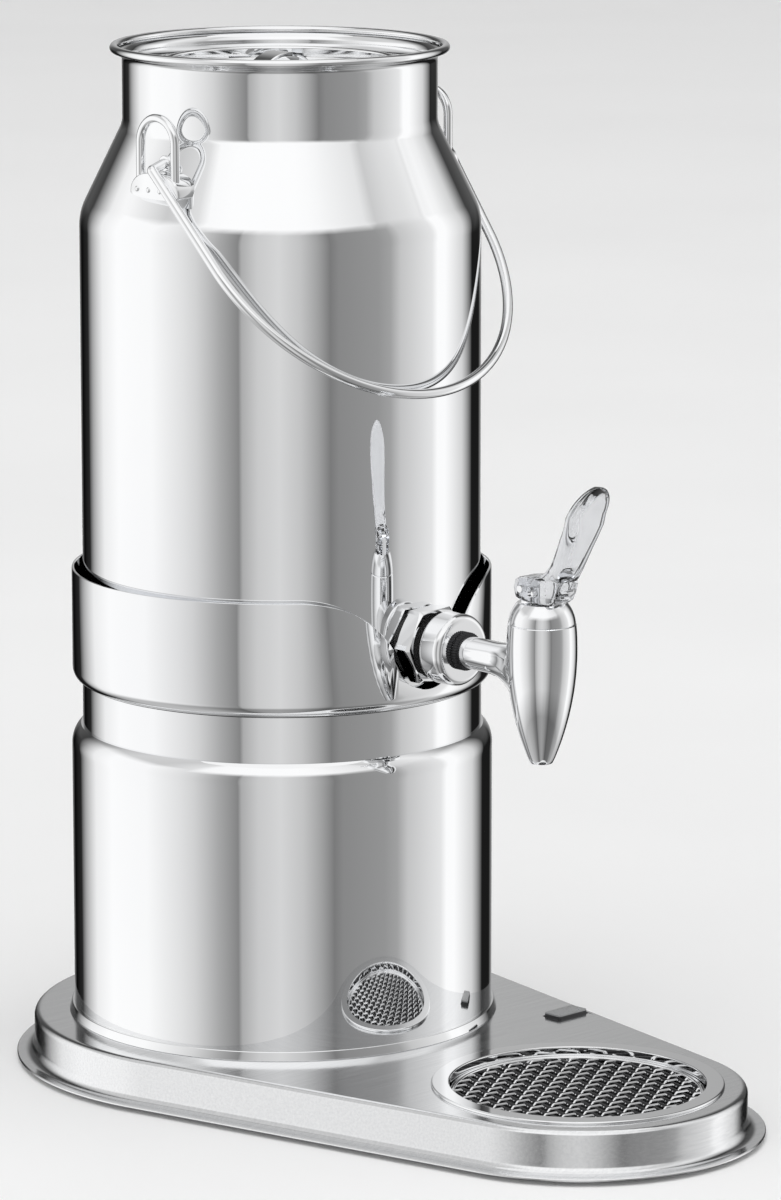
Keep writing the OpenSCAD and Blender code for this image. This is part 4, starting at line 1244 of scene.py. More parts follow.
@dataclass
class MilkCan:
    """The can: a straight wall, a cone, a neck and a rolled rim, with a wire lug on each side."""

    places: Places
    wall_r: float = 89.5
    sheet: float = 1.0
    floor_z: float = 178.0
    cone_z: float = 387.0
    neck_z: float = 427.0
    neck_r: float = 70.0
    rim_top: float = 462.0
    bead_r: float = 1.9
    flare: float = 4.5
    foot_round: float = 5.0
    cone_round: float = 26.0
    neck_round: float = 12.0
    stop_z: float = 451.5
    stop_w: float = 2.6
    lug_x: float = 83.5
    lug_wire: float = 2.0
    lug_half: float = 11.0
    lug_top: float = 438.0
    lug_low: float = 398.0
    lug_block: float = 10.0
    lug_plate: float = 15.5
    lug_dome: float = 9.4
    lug_foot: float = 2.2
    lug_fore: float = 11.0
    lug_proud: float = 0.6
    lug_edge: float = 1.2
    lug_sill: float = 2.7
    lug_eye: float = 4.0
    lug_powers: Flat = (0.77, 0.9)
    dot: tuple[Flat, ...] = ((0.0, 0.6), (0.7, 0.5), (1.2, 0.15), (1.3, -0.2))
    dot_row: tuple[float, ...] = (-10.8, -3.6, 3.6, 10.8)
    dot_rise: float = 6.6

    def wall(self) -> Shape:
        """Makes the can's wall, inside and out.

        Returns:
            The wall.
        """
        t = self.sheet
        bead = (self.neck_r + self.flare - t, self.rim_top - self.bead_r)
        bend_z = bead[1] - self.flare - 0.8
        outer = rounded([(0.0, self.floor_z), (self.wall_r, self.floor_z), (self.wall_r, self.cone_z),
                         (self.neck_r, self.neck_z), (self.neck_r, bend_z)],
                        [0, self.foot_round, self.cone_round, self.neck_round, 0], 14)
        lip = arc((bead[0], bend_z), self.flare - t, 180, 105)[1:] + arc(bead, self.bead_r, -75, 200, 20)
        back = arc((bead[0], bend_z), self.flare, 100, 180)
        inner = rounded([(self.neck_r - t, bend_z), (self.neck_r - t, self.stop_z + t),
                         (self.neck_r - self.stop_w - t, self.stop_z + t), (self.neck_r - self.stop_w - t, self.stop_z),
                         (self.neck_r - t, self.stop_z), (self.neck_r - t, self.neck_z),
                         (self.wall_r - t, self.cone_z), (self.wall_r - t, self.floor_z + t), (0.0, self.floor_z + t)],
                        [0, 0, 0.3, 0.3, 0, self.neck_round + t, self.cone_round - t, self.foot_round - t, 0], 14)
        return lathe(supported(outer + lip + back + inner[1:]), (0.0, self.places.can_y), closed=False)

    def cone_at(self, across: float, z: float) -> float:
        """Finds the cone's wall behind a lug.

        Args:
            across: distance across the lug.
            z: height.

        Returns:
            How far out the wall lies there.
        """
        slope = (self.wall_r - self.neck_r) / (self.neck_z - self.cone_z)
        r = self.wall_r - (z - self.cone_z) * slope
        return math.sqrt(r * r - (across - self.lug_fore) ** 2)

    def lug_base(self, y: float, face: float) -> Shape:
        """Returns a lug's plate, domed above and flat below, seated on the cone.

        Args:
            y: the lug's middle.
            face: how far out the plate's face lies.

        Returns:
            The plate.
        """
        middle, eye = self.lug_low + self.lug_foot + self.lug_sill, self.lug_low + self.lug_foot + self.lug_eye
        outline = []
        for k in range(LOFT_STEPS):
            c, s = squared(TURN * k / LOFT_STEPS, *self.lug_powers)
            outline.append((self.lug_plate * c, middle + (self.lug_dome if s > 0 else self.lug_foot) * s))

        def drawn_in(share: float, x: float) -> list[Spot]:
            """Returns the outline at a distance out, drawn in to its eye by a share."""
            return [(x, y + a * (1 - share), z + (eye - z) * share) for a, z in outline]

        edge = face - self.lug_edge
        seat = [(min(self.cone_at(a, z), edge - 0.2), y + a, z) for a, z in outline]
        return loop_skin([seat, drawn_in(0.0, edge), drawn_in(0.015, face - self.lug_edge * 0.3),
                          drawn_in(0.06, face)], ends=True)

    def lug(self, side: float) -> Shape:
        """Returns a lug: a domed plate on the cone with an upright wire loop and a row of weld dots.

        Args:
            side: 1 for the right lug, -1 for the left one.

        Returns:
            The lug.
        """
        y = self.places.can_y - self.lug_fore
        foot = self.lug_low + self.lug_block - self.lug_wire
        face = self.lug_x + self.lug_wire + self.lug_proud
        arch_z = self.lug_top - self.lug_half - self.lug_wire
        arch = [(self.lug_x, y - c, z) for c, z in arc((0.0, arch_z), self.lug_half, 0, 180, 28)]
        shape = wire([(self.lug_x, y - self.lug_half, foot), *arch, (self.lug_x, y + self.lug_half, foot)],
                     self.lug_wire)
        for across in self.dot_row:
            place = Matrix.Translation((face, y + across, self.lug_low + self.dot_rise))
            shape.add(lathe(self.dot, steps=20, closed=False).placed(place @ Matrix.Rotation(QUARTER, 4, "Y")))
        return shape.add(self.lug_base(y, face)).moved(lambda p: (side * p[0], p[1], p[2]))

    def build(self) -> None:
        """Makes the wall and both lugs."""
        Workshop.piece("can_skin", self.wall(), MIRROR_STEEL, Body.CAN, "can_body")
        for node, side in (("right_lug", 1.0), ("left_lug", -1.0)):
            Workshop.piece(f"{node}_skin", self.lug(side), MIRROR_STEEL, Body.CAN, node, sharp=45)


@dataclass
class CanLid:
    """The sunk lid: a dished pan with a low arched strap held by two rivets."""

    places: Places
    flange_r: float = 68.5
    flange_z: float = 454.0
    sheet: float = 1.0
    dish_r: float = 52.0
    dish_drop: float = 5.5
    strap_half: float = 22.0
    strap_foot: float = 7.0
    strap_w: float = 11.0
    strap_t: float = 1.6
    strap_rise: float = 8.5
    strap_edge: float = 0.5
    strap_spread: float = 0.4
    rivet_r: float = 2.5
    rivet_shank: float = 1.5
    rivet_dome: float = 1.2
    rivet_in: float = 3.0

    @property
    def floor(self) -> float:
        """The height of the dish's floor."""
        return self.flange_z - self.dish_drop + self.sheet

    def pan(self) -> Shape:
        """Makes the dished pan.

        Returns:
            The pan.
        """
        t, low = self.sheet, self.flange_z - self.dish_drop
        under = rounded([(0.0, low), (self.dish_r, low), (self.dish_r, self.flange_z),
                         (self.flange_r, self.flange_z), (self.flange_r, self.flange_z + t)], [0, 1.6, 0.4, 0.3, 0])
        over = rounded([(self.flange_r, self.flange_z + t), (self.dish_r - t, self.flange_z + t),
                        (self.dish_r - t, low + t), (0.0, low + t)], [0, 1.2, 0.8, 0])
        return lathe(supported(under + over[1:]), (0.0, self.places.can_y), closed=False)

    def strap(self) -> Shape:
        """Makes the arched strap with its flat feet.

        Returns:
            The strap.
        """
        half = self.strap_half - self.strap_foot
        rise = self.strap_rise - self.strap_t
        bow = (half * half + rise * rise) / (2 * rise)
        tip = math.degrees(math.asin(half / bow))
        end = self.strap_half
        lower = [(-end, 0.0)] + arc((0.0, rise - bow), bow, 90 + tip, 90 - tip, 24) + [(end, 0.0)]
        spread = 1 + self.strap_t / bow * self.strap_spread
        upper = [(-end, 0.0)] + [(x * spread, z) for x, z in lower[1:-1]] + [(end, 0.0)]
        upper = [(x, z + self.strap_t) for x, z in upper]
        w, edge = self.strap_w / 2, self.strap_edge
        rows = [[(ax, -w + edge, az), (ax, w - edge, az), (ax, w, az + edge), (bx, w, bz - edge),
                 (bx, w - edge, bz), (bx, -w + edge, bz), (bx, -w, bz - edge), (ax, -w, az + edge)]
                for (ax, az), (bx, bz) in zip(lower, upper)]
        return loop_skin(rows, ends=True).moved(lambda p: (p[0], p[1] + self.places.can_y, p[2] + self.floor))

    def rivets(self) -> Shape:
        """Makes the strap's two domed rivets.

        Returns:
            Both rivets.
        """
        low, top = self.floor, self.floor + self.strap_t
        head = [(0.0, low), (self.rivet_shank, low), (self.rivet_shank, top), (self.rivet_r, top)]
        head += [(self.rivet_r * c, top + self.rivet_dome * s) for c, s in arc((0.0, 0.0), 1.0, 20, 90, 6)]
        shape = Shape()
        for side in (-1, 1):
            at = (side * (self.strap_half - self.rivet_in), self.places.can_y)
            shape.add(lathe(head, at, 32, closed=False))
        return shape

    def build(self) -> None:
        """Makes the pan, the strap and the rivets."""
        Workshop.piece("lid_skin", self.pan(), MIRROR_STEEL, Body.LID, "lid_pan")
        Workshop.piece("lid_strap", self.strap(), MIRROR_STEEL, Body.LID, "lid_handle")
        Workshop.piece("strap_rivets", self.rivets(), DRAWN_STEEL, Body.LID, "lid_rivets")


@dataclass
class BailHandle:
    """The hanging wire bail: a round bow, two legs and headed pins through the lugs."""

    places: Places
    pivot_z: float = 416.0
    fore: float = 11.0
    tilt: float = 41.0
    bow_r: float = 84.5
    splay: float = 7.5
    half: float = 91.5
    wire_r: float = 2.25
    pin_end: float = 80.0
    bend: float = 3.4
    head_t: float = 2.0
    head_out: float = 1.2

    def build(self) -> None:
        """Makes the bail as one smooth wire with its pin heads."""
        a = math.radians(self.splay)
        foot = (self.half - self.bow_r * math.cos(a)) / math.tan(a)
        middle = foot - self.bow_r * math.sin(a)
        bow = [(x, 0.0, -middle - z) for x, z in arc((0.0, 0.0), self.bow_r, self.splay, 180 - self.splay, 72)]
        right = bent_path([(self.pin_end, 0.0, 0.0), (self.half, 0.0, 0.0), bow[0]], self.bend)
        left = [(-x, y, z) for x, y, z in reversed(right)]
        shape = wire(right[:-1] + bow + left[1:], self.wire_r, 28)
        head_r = self.wire_r + self.head_out
        head = lathe(rounded([(0.0, -self.head_t), (head_r, -self.head_t), (head_r, 0.0), (0.0, 0.0)],
                             [0, 0.6, 0.3, 0]), steps=36, closed=False)
        for side in (-1, 1):
            place = Matrix.Translation((side * self.pin_end, 0.0, 0.0))
            shape.add(head.placed(place @ Matrix.Rotation(side * QUARTER, 4, "Y")))
        seat = Matrix.Translation((0.0, self.places.can_y - self.fore, self.pivot_z))
        shape = shape.placed(seat @ Matrix.Rotation(math.radians(-self.tilt), 4, "X"))
        Workshop.piece("bail_wire", shape, MIRROR_STEEL, Body.BAIL, "bail_handle", sharp=45)


@dataclass
class LeverTap:
    """The tap: a hex flange, a shank, a coupling nut, the slim spout with its bonnet, and a clear lever."""

    places: Places
    can_r: float = 89.5
    flange_at: float = 90.4
    flange_t: float = 8.6
    hex_r: float = 18.5
    dish: float = 2.6
    seal_r: float = 15.4
    shank_r: float = 8.5
    nut_at: float = 102.5
    nut_l: float = 13.0
    nut_r: float = 16.0
    collet_r: float = 8.5
    collet_l: float = 3.0
    tube_r: float = 7.0
    reach: float = 163.0
    spout_r: float = 15.4
    spout_arc: float = 125.0
    belly_z: float = 211.5
    spout_tip: float = 161.5
    outlet_r: float = 4.0
    seam_z: float = 223.3
    bonnet_top: float = 232.5
    bonnet_arc: float = 16.0
    bonnet_in: float = 0.7
    pivot_back: float = 6.5
    pivot_z: float = 238.3
    eye_r: float = 5.4
    tongue_w: float = 5.0
    tongue_eye: float = 3.6
    stem_pin_z: float = 236.85
    lever_w: float = 15.0
    lever_top: float = 287.0
    paddle_r: float = 12.0
    paddle_h: float = 13.0
    tip_lean: float = 32.4
    tip_slope: float = 0.51
    tip_deep: float = 3.3
    tip_thin: float = 1.6
    slot_gap: float = 0.3
    slot_fore: float = 3.4
    slot_back: float = 9.0
    slot_low: float = 3.0
    slot_top: float = 3.9
    pin_r: float = 1.5
    stem_pin_r: float = 1.6
    teeth: int = 44
    tooth: float = 0.35
    clear: float = 0.1
    chamfer: float = 0.3
    dish_share: float = 0.8
    washer_at: float = 0.4
    washer_pitch: float = 1.45
    washer_ribs: int = 4
    washer_rib: tuple[Flat, ...] = ((0.0, 0.25), (0.5, 0.8), (0.95, 0.8), (1.35, 0.25))
    seal_sunk: float = 1.4
    bore_r: float = 5.0
    shank_back: float = 15.0
    shank_short: float = 4.0
    thread_at: float = 24.0
    thread_end: float = 3.0
    thread_pitch: float = 1.6
    thread_deep: float = 0.55
    nut_lip: float = 3.6
    cavity_r: float = 8.0
    cavity_h: float = 28.0
    outlet_h: float = 20.0
    seam_in: float = 0.5
    flare_l: float = 17.0
    flare_out: float = 3.4
    flare_power: float = 2.2
    droop_l: float = 24.0
    droop: float = 1.1
    stem_hole: float = 2.3

    def along(self, distance: float) -> Matrix:
        """Returns the place on the tap's axis at a distance from the can's axis, +Z pointing outwards."""
        at = Matrix.Translation((0.0, self.places.can_y - distance, self.places.tap_z))
        return at @ Matrix.Rotation(QUARTER, 4, "X")

    def hex_flange(self) -> Shape:
        """Makes the hexagon with a turned chamfer and a deep dish in its face.

        Returns:
            The flange.
        """
        flat = self.hex_r * math.cos(math.pi / 6)
        inner = self.hex_r * self.dish_share
        top, edge = self.flange_t, self.chamfer
        bore, floor = self.shank_r + self.clear, self.flange_t - self.dish

        def section(a: float) -> list[Flat]:
            """Draws the section, its chamfer deeper at the hexagon's corners.

            Args:
                a: angle in radians.

            Returns:
                The section's points.
            """
            r = flat / math.cos((a % (math.pi / 3)) - math.pi / 6)
            slant = (r - flat) * 0.5 + edge
            return [(bore, 0.0), (r - 2 * edge, 0.0), (r, slant), (r, top - slant), (r - slant, top), (inner, top),
                    (inner - edge, top - edge), (inner - 0.8, floor), (bore, floor)]

        return turned_skin(RING_STEPS, section).placed(self.along(self.flange_at))

    def dish_rings(self) -> Shape:
        """Makes the ringed washer in the flange's dish, dressed black as a painted reflection of the dark that the
        dished face mirrors.

        Returns:
            The washer.
        """
        low = self.flange_t - self.dish
        outline = [(self.shank_r + self.clear, low)]
        for i in range(self.washer_ribs):
            r = self.shank_r + self.washer_at + self.washer_pitch * i
            outline += [(r + out, low + up) for out, up in self.washer_rib]
        outline += [(self.hex_r * self.dish_share - 0.9, low)]
        return lathe(outline, steps=96).placed(self.along(self.flange_at))

    def seal(self) -> Shape:
        """Makes the thin rubber ring between the can and the flange.

        Returns:
            The ring.
        """
        bore, top = self.shank_r + 0.2, self.flange_at - self.can_r - 0.05
        outline = rounded([(bore, -self.seal_sunk), (self.seal_r, -self.seal_sunk), (self.seal_r, top), (bore, top)],
                          [0, 0.6, 0.6, 0])
        return lathe(outline, steps=96).placed(self.along(self.can_r))

    def shank(self) -> Shape:
        """Makes the threaded shank between the can and the nut.

        Returns:
            The shank.
        """
        start = self.can_r - self.shank_back
        length = self.nut_at + self.nut_l - self.shank_short - start
        outline = [(self.bore_r, 0.0), (self.shank_r, 0.0), (self.shank_r, self.thread_at)]
        for i in range(int((length - self.thread_end - self.thread_at) / self.thread_pitch)):
            z = self.thread_at + self.thread_pitch * i
            outline += [(self.shank_r - self.thread_deep, z + self.thread_pitch * 0.5),
                        (self.shank_r, z + self.thread_pitch)]
        outline += [(self.shank_r, length), (self.bore_r, length)]
        return lathe(outline, steps=72).placed(self.along(start))

    def nut(self) -> Shape:
        """Makes the smooth round coupling nut.

        Returns:
            The nut.
        """
        wide, bore = self.shank_r + self.clear, self.tube_r + self.clear
        lip = self.nut_l - self.nut_lip
        outline = rounded([(wide, 0.0), (self.nut_r, 0.0), (self.nut_r, self.nut_l), (bore, self.nut_l),
                           (bore, lip), (wide, lip)], [0, 2.4, 3.2, 0.4, 0, 0], 10)
        return lathe(supported(outline), steps=RING_STEPS).placed(self.along(self.nut_at))

    def knurl(self) -> Shape:
        """Makes the toothed ring in front of the nut.

        Returns:
            The ring.
        """
        bore, edge, top = self.tube_r - 0.2, self.chamfer, self.collet_l

        def section(a: float) -> list[Flat]:
            """Returns the section at an angle, lower between the teeth."""
            r = self.collet_r - self.tooth * (0.5 + 0.5 * math.cos(a * self.teeth))
            return [(bore, 0.0), (r - edge, 0.0), (r, edge), (r, top - edge), (r - edge, top), (bore, top)]

        return turned_skin(self.teeth * 6, section).placed(self.along(self.nut_at + self.nut_l + 0.05))

    def belly(self, z: float) -> float:
        """Returns the spout's radius at a height."""
        return self.spout_r - self.spout_arc + math.sqrt(self.spout_arc ** 2 - (z - self.belly_z) ** 2)

    def spout(self) -> Shape:
        """Makes the spout with its side tube, which flares into the belly.

        Returns:
            The spout.
        """
        steps, low, edge = 40, self.spout_tip, self.chamfer
        heights = [low + (self.seam_z - self.seam_in - low) * i / steps for i in range(steps + 1)]
        wall = [(self.belly(z), z) for z in heights]
        lip = self.belly(low)
        tip = [(self.outlet_r, low + self.outlet_h), (self.outlet_r, low + edge), (self.outlet_r + edge, low),
               (lip - edge, low), (lip, low + edge)]
        seam = [(self.belly(self.seam_z) - self.seam_in, self.seam_z), (self.cavity_r, self.seam_z),
                (self.cavity_r, self.seam_z - self.cavity_h)]
        body = lathe(tip + wall[1:] + seam, (0.0, self.places.spout_y), 96)
        start = self.nut_at + self.nut_l - self.nut_lip - self.clear
        length = self.reach - self.spout_r - start + 5.0
        flare = [(self.tube_r + self.flare_out * (i / 12) ** self.flare_power,
                  length - self.flare_l + self.flare_l * i / 12) for i in range(13)]
        side = [(self.bore_r, 0.0), (self.tube_r, 0.0), (self.tube_r, length - self.flare_l - 0.4), *flare,
                (self.bore_r, length)]

        def droop(spot: Spot) -> Spot:
            """Returns a spot of the tube with its lower side swept down into the belly."""
            share = max(0.0, (spot[2] - length + self.droop_l) / self.droop_l)
            return (spot[0], spot[1] + min(spot[1], 0.0) * self.droop * share ** 2, spot[2])

        return body.add(lathe(side, steps=72).moved(droop).placed(self.along(start)))

    def bonnet(self) -> Shape:
        """Makes the cap over the spout with the tongue that carries the lever's pin.

        Returns:
            The cap.
        """
        middle = self.spout_r - self.bonnet_in - self.bonnet_arc
        low, start, top = self.seam_z - 1.3, self.seam_z + 0.35, self.bonnet_top + 0.02
        steps = 14
        heights = [start + (self.bonnet_top - start) * i / steps for i in range(steps + 1)]
        dome = [(middle + math.sqrt(self.bonnet_arc ** 2 - (z - low) ** 2), z) for z in heights]
        outline = [(self.stem_hole, self.seam_z), (dome[0][0] - 0.4, self.seam_z), *dome,
                   (dome[-1][0] - 0.8, top), (self.stem_hole, top)]
        cap = lathe(outline, (0.0, self.places.spout_y), 96)
        pivot_y = self.places.spout_y + self.pivot_back
        ring = arc((pivot_y, self.pivot_z), self.tongue_eye, 0, 180, 16)
        foot = self.bonnet_top - 1.0
        side = [(pivot_y + self.tongue_eye, foot), *ring, (pivot_y - self.tongue_eye, foot)]
        half = self.tongue_w / 2
        return cap.add(loop_skin([[(x, y, z) for y, z in side] for x in (-half, half)], ends=True))

    def lever_levels(self) -> list[tuple[float, float, float, float, float]]:
        """Lists the lever's level sections, from its foot to the paddle's tip.

        Returns:
            For each its height, rear and front reach, half width and squareness.
        """
        low, high = self.pivot_z - self.eye_r, self.pivot_z + self.eye_r
        half = self.lever_w / 2
        top = self.lever_top
        stops = [(low, -6.2, 10.4, half - 1.5, 4.0), (low + 0.5, -8.8, 11.9, half - 0.5, 5.0),
                 (low + 1.8, -10.7, 13.2, half, 6.0), (self.pivot_z, -11.9, 15.2, half, 6.0),
                 (high - 1.8, -10.9, 16.2, half, 6.0), (high - 0.6, -9.4, 16.6, half - 0.3, 5.0),
                 (high, -6.0, 16.8, half - 0.5, 4.0), (high + 0.6, -0.5, 17.0, half - 0.2, 4.0),
                 (high + 1.8, 3.6, 17.6, half + 0.3, 3.6), (high + 4.0, 7.4, 18.6, half + 0.8, 3.2),
                 (high + 8.0, 10.9, 20.6, half + 1.3, 2.8), (high + 14.0, 14.4, 23.2, half + 2.3, 2.6),
                 (high + 20.0, 17.8, 25.9, half + 3.5, 2.4), (high + 25.0, 20.7, 28.0, self.paddle_r - 0.3, 2.3)]
        steps = 14
        for i in range(steps + 1):
            rise = math.sin(QUARTER * i / steps)
            z = top - self.paddle_h * (1 - rise) - 0.02
            lean = self.tip_lean - (top - z) * self.tip_slope
            deep = self.tip_deep - self.tip_thin * rise ** 3 - 0.5 * (i == steps)
            wide = max(self.paddle_r * math.sqrt(1 - rise * rise), 0.9)
            stops.append((z, lean - deep, lean + deep, wide, 2.2))
        return stops

    def lever_loft(self) -> Shape:
        """Makes the lever's outside, a stack of rounded level sections.

        Returns:
            The outside.
        """
        loops = []
        for z, back, front, half, square in self.lever_levels():
            middle, deep = (back + front) / 2, (front - back) / 2
            ring = [squared(TURN * k / LOFT_STEPS, 2 / square, 2 / square) for k in range(LOFT_STEPS)]
            loops.append([(half * c, self.places.spout_y - (middle + deep * s), z) for c, s in ring])
        return loop_skin(loops, ends=True)

    def lever(self) -> bpy.types.Object:
        """Makes the clear lever: a slotted block on the pin with the paddle rising from it.

        Returns:
            The lever, not yet dressed.
        """
        y = self.places.spout_y
        made = Workshop.mesh_object("clear_lever", self.lever_loft())
        slot = self.tongue_w / 2 + self.slot_gap
        Workshop.cut(made, box_shape((-slot, y - self.slot_fore, self.pivot_z - self.eye_r - self.slot_low),
                                     (slot, y + self.pivot_back + self.slot_back, self.pivot_z + self.slot_top)))
        far = 20.0
        for at, z, r in ((y + self.pivot_back, self.pivot_z, self.pin_r + self.clear),
                         (y, self.stem_pin_z, self.stem_pin_r)):
            hole = lathe([(0.0, -far), (r, -far), (r, far), (0.0, far)], steps=32, closed=False)
            place = Matrix.Translation((0.0, at, z))
            Workshop.cut(made, hole.placed(place @ Matrix.Rotation(QUARTER, 4, "Y")))
        return made

    def build(self) -> None:
        """Makes the tap's pieces and the lever."""
        Workshop.piece("hex_flange_skin", self.hex_flange(), MIRROR_STEEL, Body.CAN, "tap_flange", sharp=25)
        # The black finish on the dish's rings is a painted reflection of the dark that the dished face mirrors.
        Workshop.piece("dish_rings_painted_dark", self.dish_rings(), BLACK_RUBBER, Body.CAN)
        Workshop.piece("seal_ring", self.seal(), BLACK_RUBBER, Body.CAN, "outer_seal")
        Workshop.piece("shank_skin", self.shank(), MIRROR_STEEL, Body.CAN, "tap_shank")
        Workshop.piece("nut_skin", self.nut(), MIRROR_STEEL, Body.CAN, "coupling_nut")
        Workshop.piece("spout_skin", self.spout(), MIRROR_STEEL, Body.CAN, "tap_body")
        # The knurled ring is dressed near-black steel: painted shade.
        Workshop.piece("knurled_ring", self.knurl(), SHADE_PAINTED_STEEL, Body.CAN, sharp=60)
        Workshop.piece("bonnet_skin", self.bonnet(), MIRROR_STEEL, Body.CAN, "tap_bonnet")
        Workshop.fit(self.lever(), CLEAR_ACRYLIC, Body.LEVER, "tap_lever", sharp=40)


@dataclass
class PushButton:
    """The flat push button on the deck, with its black frame."""

    places: Places
    deck_z: float = 22.0
    cap_t: float = 0.7
    low: float = 20.2
    width: float = 18.4
    depth: float = 10.0
    corner: float = 1.2
    edge: tuple[Flat, ...] = ((0.0, 0.35), (0.12, 0.1), (0.4, 0.0))
    sides_in: float = 0.05
    cap_in: float = 0.1
    rim_out: float = 0.5
    rim_in: float = 0.15
    rim_down: float = 1.0
    rim_up: float = 0.3
    top: float = field(init=False)

    def __post_init__(self) -> None:
        """Reads the cap's height from the frame."""
        self.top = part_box("power_button")[1][2] / MM

    def slab(self, grow: float, low: float, high: float) -> list[list[Spot]]:
        """Returns loops of a rounded slab.

        Args:
            grow: how far it stands out past the button on each side.
            low: its lowest height.
            high: its highest height.

        Returns:
            The loops from low to high.
        """
        x, y = self.places.button
        a, b = self.width / 2 + grow - self.corner, self.depth / 2 + grow - self.corner
        corners = ((a, b, 0), (-a, b, 90), (-a, -b, 180), (a, -b, 270))

        def loop(inset: float, z: float) -> list[Spot]:
            """Returns one loop of the slab, drawn in at its edge."""
            return [(x + px, y + py, z) for cx, cy, start in corners
                    for px, py in arc((cx, cy), self.corner - inset, start, start + 90, 5)]

        return [loop(0.0, low)] + [loop(inset, high - drop) for inset, drop in self.edge]

    def build(self) -> None:
        """Makes the cap, its dark sides and the frame."""
        seam = self.top - self.cap_t
        sides = loop_skin(self.slab(-self.sides_in, self.low, seam), ends=True)
        Workshop.piece("button_sides", sides, BLACK_PLASTIC, Body.BUTTON, "power_button")
        outer, inner = (self.slab(grow, self.deck_z - self.rim_down, self.deck_z + self.rim_up)
                        for grow in (self.rim_out, self.rim_in))
        rim = loop_skin([*outer[:3], inner[1], inner[0]], ring=True)
        Workshop.piece("button_rim", rim, BLACK_PLASTIC, Body.BASE, "button_frame")
        cap = loop_skin(self.slab(-self.cap_in, seam, self.top), ends=True)
        Workshop.piece("button_cap", cap, GREY_CAP, Body.BUTTON)


class InnerParts:
    """The solids that keep their own shape and only need a finish."""

    FINISHES: dict[Finish, tuple[str, ...]] = {
        DRAWN_STEEL: ("foot_screws", "spacer_posts", "housing_screws", "sink_posts", "fan_screws", "board_posts",
                      "tap_backnut", "tap_spring", "lever_pin", "tap_stem", "stem_pin"),
        SINK_ALLOY: ("cold_plate", "heat_sink", "inlet_nut"),
        BLACK_PLASTIC: ("bottom_cover", "fan_frame", "power_inlet", "switch_body", "fan_rotor"),
        BLACK_RUBBER: ("rubber_feet", "inner_seal", "lid_seal", "seat_cup"),
        WHITE_FOAM: ("insulation_ring",),
        WHITE_CERAMIC: ("peltier_module",),
        GREEN_BOARD: ("control_board",),
    }

    def build(self) -> None:
        """Gives each remaining solid its finish."""
        for finish, names in self.FINISHES.items():
            for name in names:
                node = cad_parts[name]
                node.data.materials.clear()
                node.data.materials.append(finish.material())
                log.info("finish %s on %s", finish.name, name)


@dataclass(frozen=True)
class StudioTone:
    """How bright the studio's surround is in one direction, in degrees right of the camera.

    wall is what upright walls mirror, back is what the flat deck mirrors, high is what the cone mirrors.
    """

    bearing: float
    wall: float
    back: float
    high: float


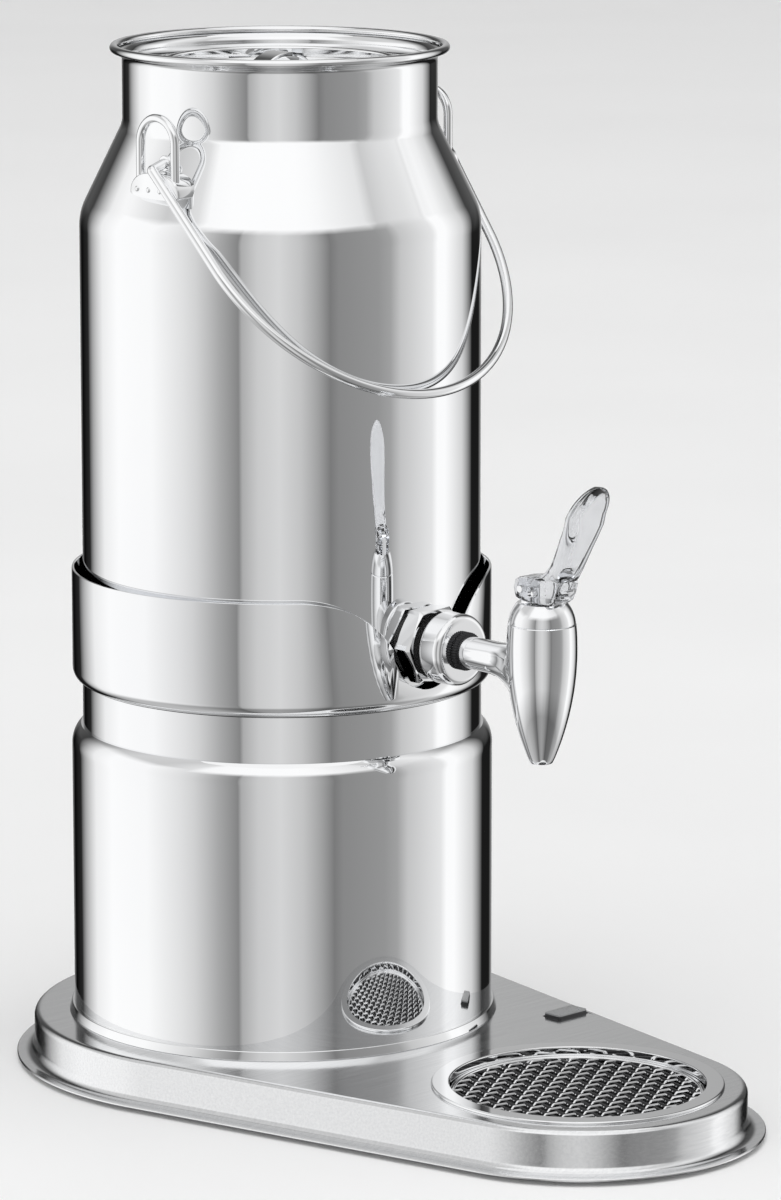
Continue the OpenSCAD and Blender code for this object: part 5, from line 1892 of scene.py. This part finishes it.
@dataclass
class Studio:
    """Camera, floor, graded surround, soft sun and pale world."""

    places: Places
    camera_at: Spot = (-1.8235, -1.8483, 0.7376)
    heading: float = 44.56
    pitch: float = 11.26
    lens: float = 179.7
    sensor: float = 36.0
    floor_half: float = 14.0
    surround_r: float = 7.0
    glow: float = 1.06
    sun: float = 3.1
    sun_angle: float = 120.0
    shade: float = 0.5
    far: float = 100.0
    tones: tuple[StudioTone, ...] = (
        StudioTone(-180, 0.5, 0.45, 0.6), StudioTone(-172, 0.2, 0.35, 0.3), StudioTone(-160, 0.0, 0.1, 0.1),
        StudioTone(-144, 0.02, 0.05, 0.02), StudioTone(-136, 0.38, 0.3, 0.2), StudioTone(-122, 0.86, 0.86, 0.55),
        StudioTone(-106, 1.0, 1.0, 0.65), StudioTone(-78, 0.97, 0.97, 0.6), StudioTone(-56, 0.76, 0.76, 0.75),
        StudioTone(-48, 0.66, 0.66, 0.98), StudioTone(-34, 0.4, 0.4, 1.0), StudioTone(-23, 0.24, 0.24, 1.0),
        StudioTone(-21, 0.42, 0.42, 1.0), StudioTone(-12, 0.6, 0.6, 1.0), StudioTone(0, 0.68, 0.68, 1.0),
        StudioTone(12, 0.56, 0.56, 1.0), StudioTone(22, 0.36, 0.36, 0.98), StudioTone(29, 0.2, 0.2, 0.95),
        StudioTone(34, 0.25, 0.25, 0.92), StudioTone(58, 0.3, 0.3, 0.8), StudioTone(66, 0.36, 0.36, 0.6),
        StudioTone(73, 0.56, 0.56, 0.66), StudioTone(97, 0.8, 0.8, 0.85), StudioTone(102, 1.0, 1.0, 0.8),
        StudioTone(109, 1.0, 1.0, 0.7), StudioTone(128, 0.66, 0.66, 0.3), StudioTone(136, 0.3, 0.3, 0.02),
        StudioTone(143, 0.01, 0.05, 0.05), StudioTone(160, 0.01, 0.1, 0.2), StudioTone(170, 0.3, 0.35, 0.4))

    def camera(self) -> None:
        """Sets the camera at the photograph's angle."""
        data = bpy.data.cameras.new("camera")
        data.lens = self.lens
        data.sensor_width = self.sensor
        data.clip_end = self.far
        made = bpy.data.objects.new("camera", data)
        made.location = self.camera_at
        made.rotation_euler = (math.radians(90 - self.pitch), 0.0, math.radians(-self.heading))
        bpy.context.scene.collection.objects.link(made)
        bpy.context.scene.camera = made

    def floor(self) -> None:
        """Lays the pale floor under the feet."""
        half = self.floor_half / MM
        corners = [(-half, -half, 0), (half, -half, 0), (half, half, 0), (-half, half, 0)]
        made = Workshop.mesh_object("floor", Shape(corners, [(0, 1, 2, 3)]), outward=False)
        made.data.materials.append(PALE_FLOOR.material())
        made.visible_glossy = False

    def surround(self) -> None:
        """Stands a graded cloth round the object, seen only in reflections and as light."""
        facing = math.radians(-90 - self.heading)
        bands = ((-24.0, "wall", self.shade), (-5.0, "wall", self.shade), (-3.0, "wall", 1.0), (-0.6, "wall", 1.0),
                 (0.8, "back", 1.0), (3.2, "back", 1.0), (5.0, "high", 1.0), (14.0, "high", 1.0))
        angles = [facing + math.radians(t.bearing) for t in self.tones]
        r = self.surround_r / MM
        rows, values = [], []
        for z, band, share in bands:
            rows.append([(r * math.cos(a), r * math.sin(a) + self.places.can_y, z / MM) for a in angles])
            values += [self.glow * share * getattr(t, band) for t in self.tones]
        made = Workshop.mesh_object("surround", loop_skin(rows), outward=False)
        tone = made.data.attributes.new("tone", "FLOAT", "POINT")
        tone.data.foreach_set("value", values)
        material = bpy.data.materials.new("studio_cloth")
        material.use_nodes = True
        nodes, links = material.node_tree.nodes, material.node_tree.links
        nodes.clear()
        read = nodes.new("ShaderNodeAttribute")
        read.attribute_name = "tone"
        glow = nodes.new("ShaderNodeEmission")
        out = nodes.new("ShaderNodeOutputMaterial")
        links.new(read.outputs["Fac"], glow.inputs["Strength"])
        links.new(glow.outputs[0], out.inputs["Surface"])
        made.data.materials.append(material)
        made.visible_camera = False

    def soft_sun(self) -> None:
        """Adds a very soft light from above that evens out the floor."""
        data = bpy.data.lights.new("soft_sun", "SUN")
        data.energy = self.sun
        data.angle = math.radians(self.sun_angle)
        made = bpy.data.objects.new("soft_sun", data)
        made.visible_glossy = False
        bpy.context.scene.collection.objects.link(made)

    def world(self) -> None:
        """Fills the space with a plain pale light."""
        world = bpy.data.worlds.new("pale_world")
        world.use_nodes = True
        sky = next(n for n in world.node_tree.nodes if n.type == "BACKGROUND")
        sky.inputs["Color"].default_value = (1.0, 1.0, 1.0, 1.0)
        sky.inputs["Strength"].default_value = 1.0
        bpy.context.scene.world = world
        bpy.context.scene.view_settings.view_transform = "Standard"

    def build(self) -> None:
        """Makes the whole studio."""
        self.camera()
        self.floor()
        self.surround()
        self.soft_sun()
        self.world()


class Assembly(Protocol):
    """A group of pieces that can be built."""

    def build(self) -> None:
        """Makes the group's pieces."""


def main() -> None:
    """Builds the dispenser's looks round the frame."""
    logging.basicConfig(level=logging.INFO, format="%(message)s")
    places = Places.from_frame()
    vent = AirVent(places)
    assemblies: tuple[Assembly, ...] = (
        Studio(places), BasePan(places), CoolerHousing(places, vent), vent, DripTray(places), MilkCan(places),
        CanLid(places), BailHandle(places), LeverTap(places), PushButton(places), InnerParts())
    for assembly in assemblies:
        assembly.build()


if __name__ == "__main__":
    main()
